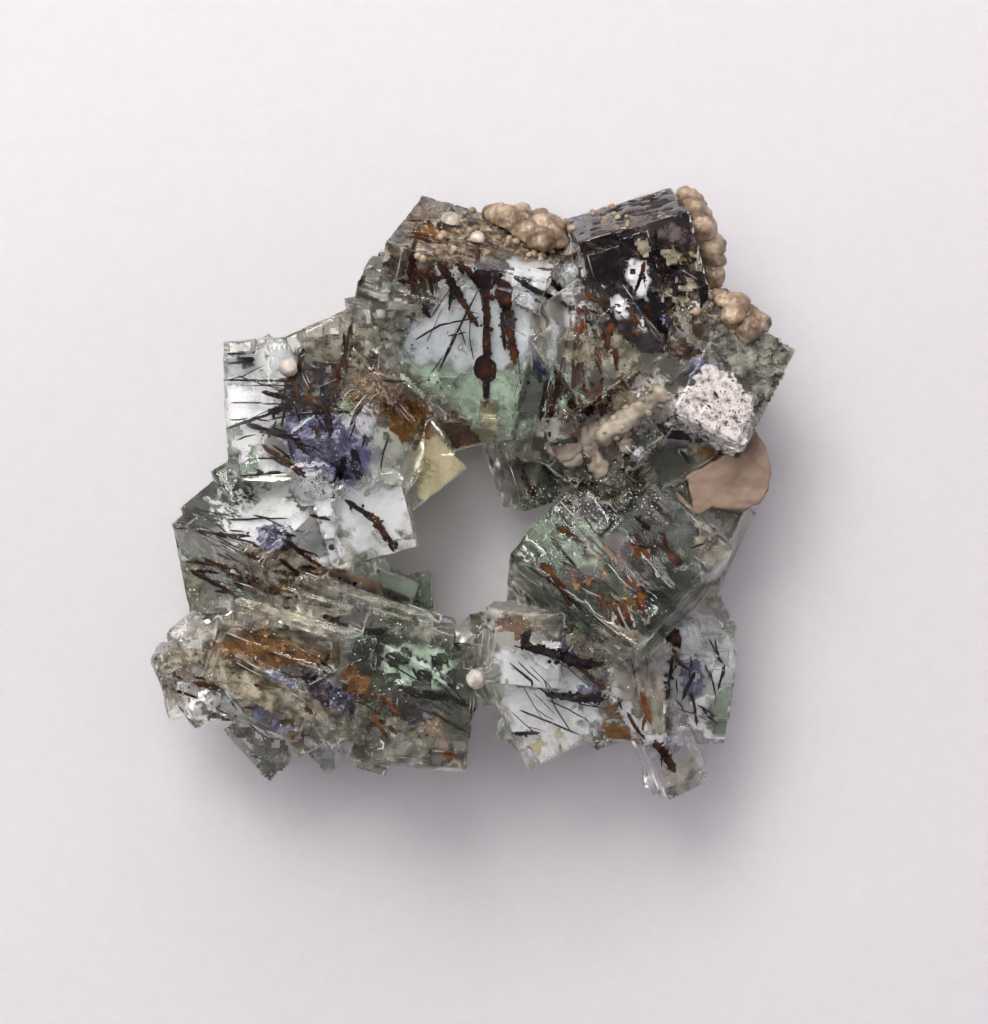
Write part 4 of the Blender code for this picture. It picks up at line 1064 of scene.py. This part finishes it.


def chip_and_highlight_at(point):
    """How much an edge shows as chipped and as highlit there: not at all below zero."""
    return noise.noise(point * 0.9) + 0.5 * noise.noise(point * 3.7) - 0.12


def chipped_and_highlit_edges():
    """Thin pale lines along the longer edges of the crystals: chips, and painted highlights where the edges
    catch the light.
    """
    made = bmesh.new()
    made.from_mesh(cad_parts["fluorite_cluster"].data)
    bmesh.ops.remove_doubles(made, verts=made.verts, dist=WELD * MM)
    made.normal_update()
    heap = Heap()
    for edge in made.edges:
        a, b = edge.verts[0].co / MM, edge.verts[1].co / MM
        if len(edge.link_faces) != 2 or (b - a).length < EDGE_LENGTH or a.z + b.z < 2 * EDGE_HEIGHT:
            continue
        if edge.calc_face_angle_signed() < math.radians(EDGE_ANGLE):
            continue
        steps = max(3, round((b - a).length / EDGE_STEP))
        line = [a.lerp(b, i / steps) - EDGE_SINK for i in range(steps + 1)]
        part, radii = [], []
        for point in line + [None]:
            chip_and_highlight = 0.0 if point is None else chip_and_highlight_at(point)
            if chip_and_highlight > 0:
                part.append(point)
                radii.append(min(MOST_EDGE_LINE, LEAST_EDGE_LINE + chip_and_highlight * 0.06))
            else:
                heap.tube(part, radii, sides=5, rough=0.8)
                part, radii = [], []
    made.free()
    heap.piece("edges_chipped_and_highlit", LOOKS["edge"])


# ---------------------------------------------------------------- materials
BUMP_DEPTH = 0.00004   # of the minerals other than fluorite, in metres
FILM_EDGE = 0.15       # the cover at which a film starts to show
TEAR_SCALE = 2100      # of the noise that tears the films' rims


def material(name):
    made = bpy.data.materials.new(name)
    made.use_nodes = True
    tree = made.node_tree
    return made, tree, tree.nodes["Principled BSDF"]


def settle(made, values):
    """Gives sockets of a node their values, by the sockets' names."""
    for name, value in values.items():
        made.inputs[name].default_value = value


def node(tree, kind, **settings):
    made = tree.nodes.new(kind)
    for key, value in settings.items():
        setattr(made, key, value)
    return made


def object_noise(tree, scale, detail=3.0, roughness=0.55, stretch=(1, 1, 1), turn=(0, 0, 0)):
    """Noise over object space, in lumps of 1 / scale metres."""
    coords = node(tree, "ShaderNodeTexCoord")
    mapping = node(tree, "ShaderNodeMapping")
    settle(mapping, {"Scale": stretch, "Rotation": turn})
    tree.links.new(coords.outputs["Object"], mapping.inputs["Vector"])
    made = node(tree, "ShaderNodeTexNoise")
    settle(made, {"Scale": scale, "Detail": detail, "Roughness": roughness})
    tree.links.new(mapping.outputs["Vector"], made.inputs["Vector"])
    return made.outputs["Fac"]


def ramp(tree, source, *stops):
    """A colour ramp over source; stops are (place, colour)."""
    made = node(tree, "ShaderNodeValToRGB")
    while len(made.color_ramp.elements) < len(stops):
        made.color_ramp.elements.new(0.5)
    for element, (place, colour) in zip(made.color_ramp.elements, stops):
        element.position = place
        element.color = (*colour, 1.0)
    tree.links.new(source, made.inputs["Fac"])
    return made.outputs["Color"]


def bump(tree, shader, source, strength, distance):
    made = node(tree, "ShaderNodeBump")
    settle(made, {"Strength": strength, "Distance": distance})
    tree.links.new(source, made.inputs["Height"])
    tree.links.new(made.outputs["Normal"], shader.inputs["Normal"])


def absorb(tree, colour, density):
    made = node(tree, "ShaderNodeVolumeAbsorption")
    settle(made, {"Color": (*colour, 1), "Density": density})
    tree.links.new(made.outputs["Volume"], tree.nodes["Material Output"].inputs["Volume"])


def fluorite_look():
    made, tree, shader = material("fluorite")
    settle(shader, {"Transmission Weight": 1.0, "IOR": FLUORITE_IOR, "Specular IOR Level": 0.3,
                    "Base Color": (0.975, 0.97, 0.955, 1)})
    etched = node(tree, "ShaderNodeAttribute", attribute_name="etched")
    tree.links.new(etched.outputs["Fac"], shader.inputs["Roughness"])
    ripple = object_noise(tree, 1500, 2, stretch=(1, 0.4, 1), turn=(0.3, 0.2, 0.6))
    bump(tree, shader, ripple, 0.15, 0.00006)
    absorb(tree, (0.74, 0.77, 0.56), 55.0)
    return made


def cloud_look(name, colour, density):
    """A zone of colour inside a crystal: it bends no light and only takes some of it up."""
    made, tree, shader = material(name)
    settle(shader, {"Transmission Weight": 1.0, "IOR": 1.0, "Roughness": 0.0})
    absorb(tree, colour, density)
    return made


def mineral_look(name, stops, scale, roughness, detail=4, specular=0.4):
    made, tree, shader = material(name)
    tree.links.new(ramp(tree, object_noise(tree, scale, detail), *stops), shader.inputs["Base Color"])
    settle(shader, {"Roughness": roughness, "Specular IOR Level": specular})
    bump(tree, shader, object_noise(tree, scale * 3, 4), 0.5, BUMP_DEPTH)
    return made


def film_look(name, stops, scale, cover, ragged=0.9, soft=0.35):
    """A film that thins out to nothing at its ragged rim."""
    made, tree, shader = material("film_" + name)
    tree.links.new(ramp(tree, object_noise(tree, scale, 4, 0.75), *stops), shader.inputs["Base Color"])
    settle(shader, {"Roughness": 0.6, "Specular IOR Level": 0.05})
    held = node(tree, "ShaderNodeAttribute", attribute_name="cover")
    torn = node(tree, "ShaderNodeMath", operation="MULTIPLY_ADD")
    tree.links.new(object_noise(tree, TEAR_SCALE, 2, 0.7), torn.inputs[0])
    torn.inputs[1].default_value = ragged
    tree.links.new(held.outputs["Fac"], torn.inputs[2])
    alpha = node(tree, "ShaderNodeMapRange", interpolation_type="SMOOTHSTEP")
    tree.links.new(torn.outputs["Value"], alpha.inputs["Value"])
    start = 0.5 * ragged + FILM_EDGE
    settle(alpha, {"From Min": start, "From Max": start + soft, "To Min": 0.0, "To Max": cover})
    tree.links.new(alpha.outputs["Result"], shader.inputs["Alpha"])
    return made


def paper_look():
    made, tree, shader = material("paper")
    mottle = object_noise(tree, 900, 6, 0.7)
    tone = ramp(tree, mottle, (0.3, (0.415, 0.405, 0.41)), (0.7, (0.435, 0.425, 0.43)))
    tree.links.new(tone, shader.inputs["Base Color"])
    settle(shader, {"Roughness": 0.9})
    bump(tree, shader, object_noise(tree, 1400, 5, 0.7), 0.25, 0.0001)
    return made


# ---------------------------------------------------------------- the studio
CLIP_START = 0.005     # in metres
PAPER_SIZE, PAPER_HEIGHT = 1.6, -0.00004    # in metres: just under the specimen
# Each lamp: name, place and size in metres, power, colour. All look at the origin.
LAMPS = (
    ("window", (-0.08, 0.20, 0.27), (0.18, 0.18), 1.14, (1.0, 0.985, 0.96)),
    ("high_window", (-0.085, 0.09, 0.37), (0.30, 0.30), 1.12, (1.0, 0.985, 0.965)),
    ("side_west", (-0.50, 0.05, 0.26), (0.5, 0.22), 0.7, (0.96, 0.91, 1.0)),
    ("side_north", (0.05, 0.50, 0.28), (0.5, 0.22), 1.55, (1.0, 0.98, 0.97)),
    ("side_east", (0.50, -0.02, 0.26), (0.5, 0.22), 1.0, (0.94, 0.85, 1.0)),
    ("side_south", (-0.03, -0.50, 0.26), (0.5, 0.22), 0.12, (0.92, 0.84, 1.0)))
ROOM_COLOUR, ROOM_STRENGTH = (0.85, 0.75, 0.92, 1), 0.30
LIGHT_PATHS = {"max_bounces": 10, "transmission_bounces": 10, "transparent_max_bounces": 16,
               "diffuse_bounces": 2, "glossy_bounces": 4, "blur_glossy": 0.5,
               "sample_clamp_indirect": 40.0, "adaptive_threshold": 0.25}


def camera():
    made = bpy.data.cameras.new("camera")
    made.sensor_width = SENSOR
    made.lens = FOCAL_PIXELS / IMAGE_TALL_SIDE * SENSOR
    made.clip_start = CLIP_START
    eye = bpy.data.objects.new("camera", made)
    eye.location = EYE * MM
    bpy.context.scene.collection.objects.link(eye)
    bpy.context.scene.camera = eye


def paper():
    bpy.ops.mesh.primitive_plane_add(size=PAPER_SIZE, location=(0, 0, PAPER_HEIGHT))
    floor = bpy.context.object
    floor.name = "floor"
    floor.data.materials.append(paper_look())


def lamps():
    for name, place, size, power, colour in LAMPS:
        light = bpy.data.lights.new(name, "AREA")
        light.shape = "RECTANGLE"
        light.size, light.size_y = size
        light.energy = power
        light.color = colour
        lamp = bpy.data.objects.new(name, light)
        lamp.location = place
        lamp.rotation_euler = (-Vector(place)).to_track_quat("-Z", "Y").to_euler()
        # The level faces would mirror this one into the camera and turn milky.
        lamp.visible_glossy = name != "high_window"
        bpy.context.scene.collection.objects.link(lamp)


def room():
    world = bpy.data.worlds.new("room")
    world.use_nodes = True
    settle(world.node_tree.nodes["Background"], {"Color": ROOM_COLOUR, "Strength": ROOM_STRENGTH})
    bpy.context.scene.world = world
    for name, value in LIGHT_PATHS.items():
        setattr(bpy.context.scene.cycles, name, value)
    bpy.context.scene.view_settings.view_transform = "Standard"


# ---------------------------------------------------------------- looks
camera()
paper()
lamps()
room()
LOOKS = {
    "fluorite": fluorite_look(),
    "black": mineral_look("needle_black", ((0.3, (0.004, 0.003, 0.004)), (0.7, (0.022, 0.016, 0.015))),
                          1500, 0.5, specular=0.05),
    "rust": mineral_look("rod_rust", ((0.36, (0.007, 0.003, 0.002)), (0.5, (0.03, 0.011, 0.005)),
                                      (0.68, (0.13, 0.046, 0.011))), 420, 0.6, 7, specular=0.05),
    "stalk": mineral_look("stalk_beige", ((0.36, (0.09, 0.072, 0.052)), (0.62, (0.27, 0.23, 0.175))),
                          600, 0.45, 7),
    # Pale edge lines: partly chipped stone, partly painted edge highlight.
    "edge": mineral_look("edge_pale", ((0.40, (0.08, 0.06, 0.045)), (0.60, (0.42, 0.40, 0.36))), 900, 0.3, 6),
    # Near-white dust grains; the white also paints glints.
    "sparkle": mineral_look("grain_dust_and_painted_glint", ((0.3, (0.75, 0.75, 0.75)), (0.7, (0.95, 0.95, 0.95))),
                            2000, 0.12, specular=0.8),
    "violet": cloud_look("cloud_violet", (0.36, 0.34, 0.86), 900.0),
    "ochre": cloud_look("cloud_ochre", (0.80, 0.55, 0.22), 900.0),
    "green": cloud_look("cloud_green", (0.45, 0.78, 0.62), 260.0),
    "crust": mineral_look("crust_tan", ((0.34, (0.06, 0.037, 0.021)), (0.48, (0.155, 0.105, 0.066)),
                                        (0.64, (0.31, 0.235, 0.16))), 700, 0.3, 7),
    "bead": mineral_look("bead_glassy", ((0.36, (0.16, 0.135, 0.105)), (0.62, (0.44, 0.405, 0.35))),
                         900, 0.2, 5),
    "chip": mineral_look("calcite_matt", ((0.3, (0.10, 0.064, 0.042)), (0.46, (0.165, 0.115, 0.08)),
                                          (0.7, (0.21, 0.15, 0.11))), 330, 0.7, 8),
}
# Each kind of film: the stops of its colours, the scale of its mottle, its cover and, where they
# aren't the usual ones, how ragged and how soft its rim is.
FILM_KINDS = {
    # White: painted light of the lit paper seen through the crystal.
    "white": (((0.3, (0.56, 0.57, 0.60)), (0.5, (0.88, 0.89, 0.90))), 700, 0.95),
    # Milky zones of the crystal, partly painted light of the paper seen through it.
    "milk": (((0.35, (0.50, 0.52, 0.53)), (0.6, (0.84, 0.86, 0.88))), 300, 0.76, 0.3, 0.9),
    "chalk": (((0.36, (0.10, 0.08, 0.07)), (0.44, (0.50, 0.45, 0.43)), (0.56, (0.86, 0.81, 0.78))),
              1900, 0.92, 1.4, 0.3),
    "pane": (((0.35, (0.38, 0.40, 0.35)), (0.62, (0.70, 0.72, 0.65))), 420, 0.6, 0.5, 0.7),
    # Pale blue: painted light seen through the crystal, in the arch and under the dark crystal's black
    # masses.
    "sky": (((0.35, (0.58, 0.64, 0.67)), (0.62, (0.88, 0.93, 0.96))), 300, 0.85, 0.4, 0.8),
    "cream": (((0.35, (0.40, 0.34, 0.17)), (0.62, (0.76, 0.68, 0.42))), 600, 0.5, 0.9, 0.6),
    "foam": (((0.35, (0.33, 0.44, 0.33)), (0.62, (0.66, 0.82, 0.64))), 350, 0.85, 0.5, 0.8),
    "green": (((0.35, (0.16, 0.21, 0.15)), (0.62, (0.40, 0.50, 0.37))), 450, 0.5, 0.6, 0.7),
    "moss": (((0.35, (0.03, 0.036, 0.024)), (0.62, (0.115, 0.13, 0.09))), 450, 0.62, 0.5, 0.7),
    "sage": (((0.34, (0.02, 0.026, 0.016)), (0.5, (0.05, 0.062, 0.04)), (0.64, (0.135, 0.155, 0.105))),
             420, 0.6, 0.5, 0.7),
    "mauve": (((0.36, (0.006, 0.004, 0.005)), (0.5, (0.022, 0.016, 0.016)), (0.62, (0.12, 0.092, 0.082))),
              480, 0.88, 0.9, 0.35),
    "violet": (((0.34, (0.035, 0.03, 0.10)), (0.5, (0.12, 0.12, 0.26)), (0.62, (0.48, 0.49, 0.62))),
               1300, 0.55),
    "slate": (((0.34, (0.009, 0.007, 0.008)), (0.5, (0.04, 0.032, 0.034)), (0.64, (0.18, 0.15, 0.145))),
              1100, 0.85),
    "grime": (((0.34, (0.014, 0.007, 0.004)), (0.48, (0.075, 0.045, 0.025)), (0.64, (0.27, 0.21, 0.145))),
              950, 0.75),
    "ochre": (((0.34, (0.045, 0.016, 0.004)), (0.48, (0.17, 0.07, 0.016)), (0.64, (0.38, 0.21, 0.065))),
              1100, 0.62),
    "tan": (((0.34, (0.10, 0.06, 0.03)), (0.48, (0.24, 0.165, 0.09)), (0.64, (0.48, 0.375, 0.25))),
            1100, 0.55),
    "frost": (((0.32, (0.03, 0.032, 0.02)), (0.46, (0.115, 0.12, 0.085)), (0.62, (0.36, 0.365, 0.285))),
              1100, 0.42, 1.3, 0.45),
    "haze": (((0.32, (0.045, 0.035, 0.019)), (0.46, (0.18, 0.155, 0.10)), (0.62, (0.50, 0.45, 0.335))),
             1100, 0.42, 1.3, 0.45),
    "black": (((0.35, (0.003, 0.003, 0.003)), (0.55, (0.012, 0.008, 0.007)), (0.68, (0.09, 0.06, 0.05))),
              1000, 0.97, 1.6, 0.25),
}
FILM_LOOKS = {kind: film_look(kind, *values) for kind, values in FILM_KINDS.items()}
# The looks of the CAD nodes, by the first word of their names.
NODE_LOOKS = {"fluorite": "fluorite", "calcite": "chip", "chalcedony": "stalk", "crust": "crust",
              "bead": "bead"}
for name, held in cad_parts.items():
    for place in held.material_slots:
        place.material = LOOKS[NODE_LOOKS[name.split("_")[0]]]


# ---------------------------------------------------------------- everything inside the crystals
CLOUD_THICKNESS = 0.6    # the share of a cloud's smaller radius that is its radius in height


def needles_and_rods():
    heaps = {"black": Heap(), "rust": Heap()}
    add_threads(heaps["black"], BLACK_THREADS, rough=0.7)
    add_lumps(heaps["black"], BLACK_LUMPS)
    add_threads(heaps["rust"], RUST_THREADS, rough=0.8)
    fan_top, fan_ends, fan_size = RUST_FAN
    add_threads(heaps["rust"], [(*fan_size, fan_top, end) for end in fan_ends], rough=0.5)
    add_lumps(heaps["rust"], RUST_BULBS, rough=0.25)
    strew_threads(heaps)
    heaps["black"].piece("needles_black", LOOKS["black"])
    heaps["rust"].piece("rods_rust", LOOKS["rust"])


def loose_grains():
    heaps = {"sparkle": Heap(), "speck": Heap()}
    strew_grains(heaps)
    heaps["sparkle"].piece("grains_dust_and_painted_glints", LOOKS["sparkle"])
    heaps["speck"].piece("grains_dark", LOOKS["black"])


def clouds():
    """Zones of colour, as flattened lumpy balls."""
    heaps = {kind: Heap() for kind in ("violet", "ochre", "green")}
    for kind, place, across, along, turn, depth in CLOUDS:
        thick = CLOUD_THICKNESS * min(across, along) / PIXELS_PER_MM
        centre = sunk(*place, depth + thick * 0.5)
        if centre is not None:
            heaps[kind].blob(centre, (across / PIXELS_PER_MM, along / PIXELS_PER_MM, thick),
                             turn=Matrix.Rotation(math.radians(turn), 3, "Z"), lumps=0.5, grain=1.3, detail=3,
                             fit=drawn_in)
    for kind, heap in heaps.items():
        heap.piece("cloud_" + kind, LOOKS[kind], smooth=True)


def films():
    heaps = {}
    for salt, (kind, depth, fill, rim, *outline) in enumerate(FILMS):
        add_film(heaps.setdefault(kind, Heap()), depth, fill, rim, outline, salt * SALT_STEP)
    for kind, heap in sorted(heaps.items()):
        heap.piece("film_" + kind, FILM_LOOKS[kind])


crystal_skin()
rough_skins()
crust_grains()
stalk()
stalk_foot()
chipped_and_highlit_edges()
needles_and_rods()
loose_grains()
clouds()
films()
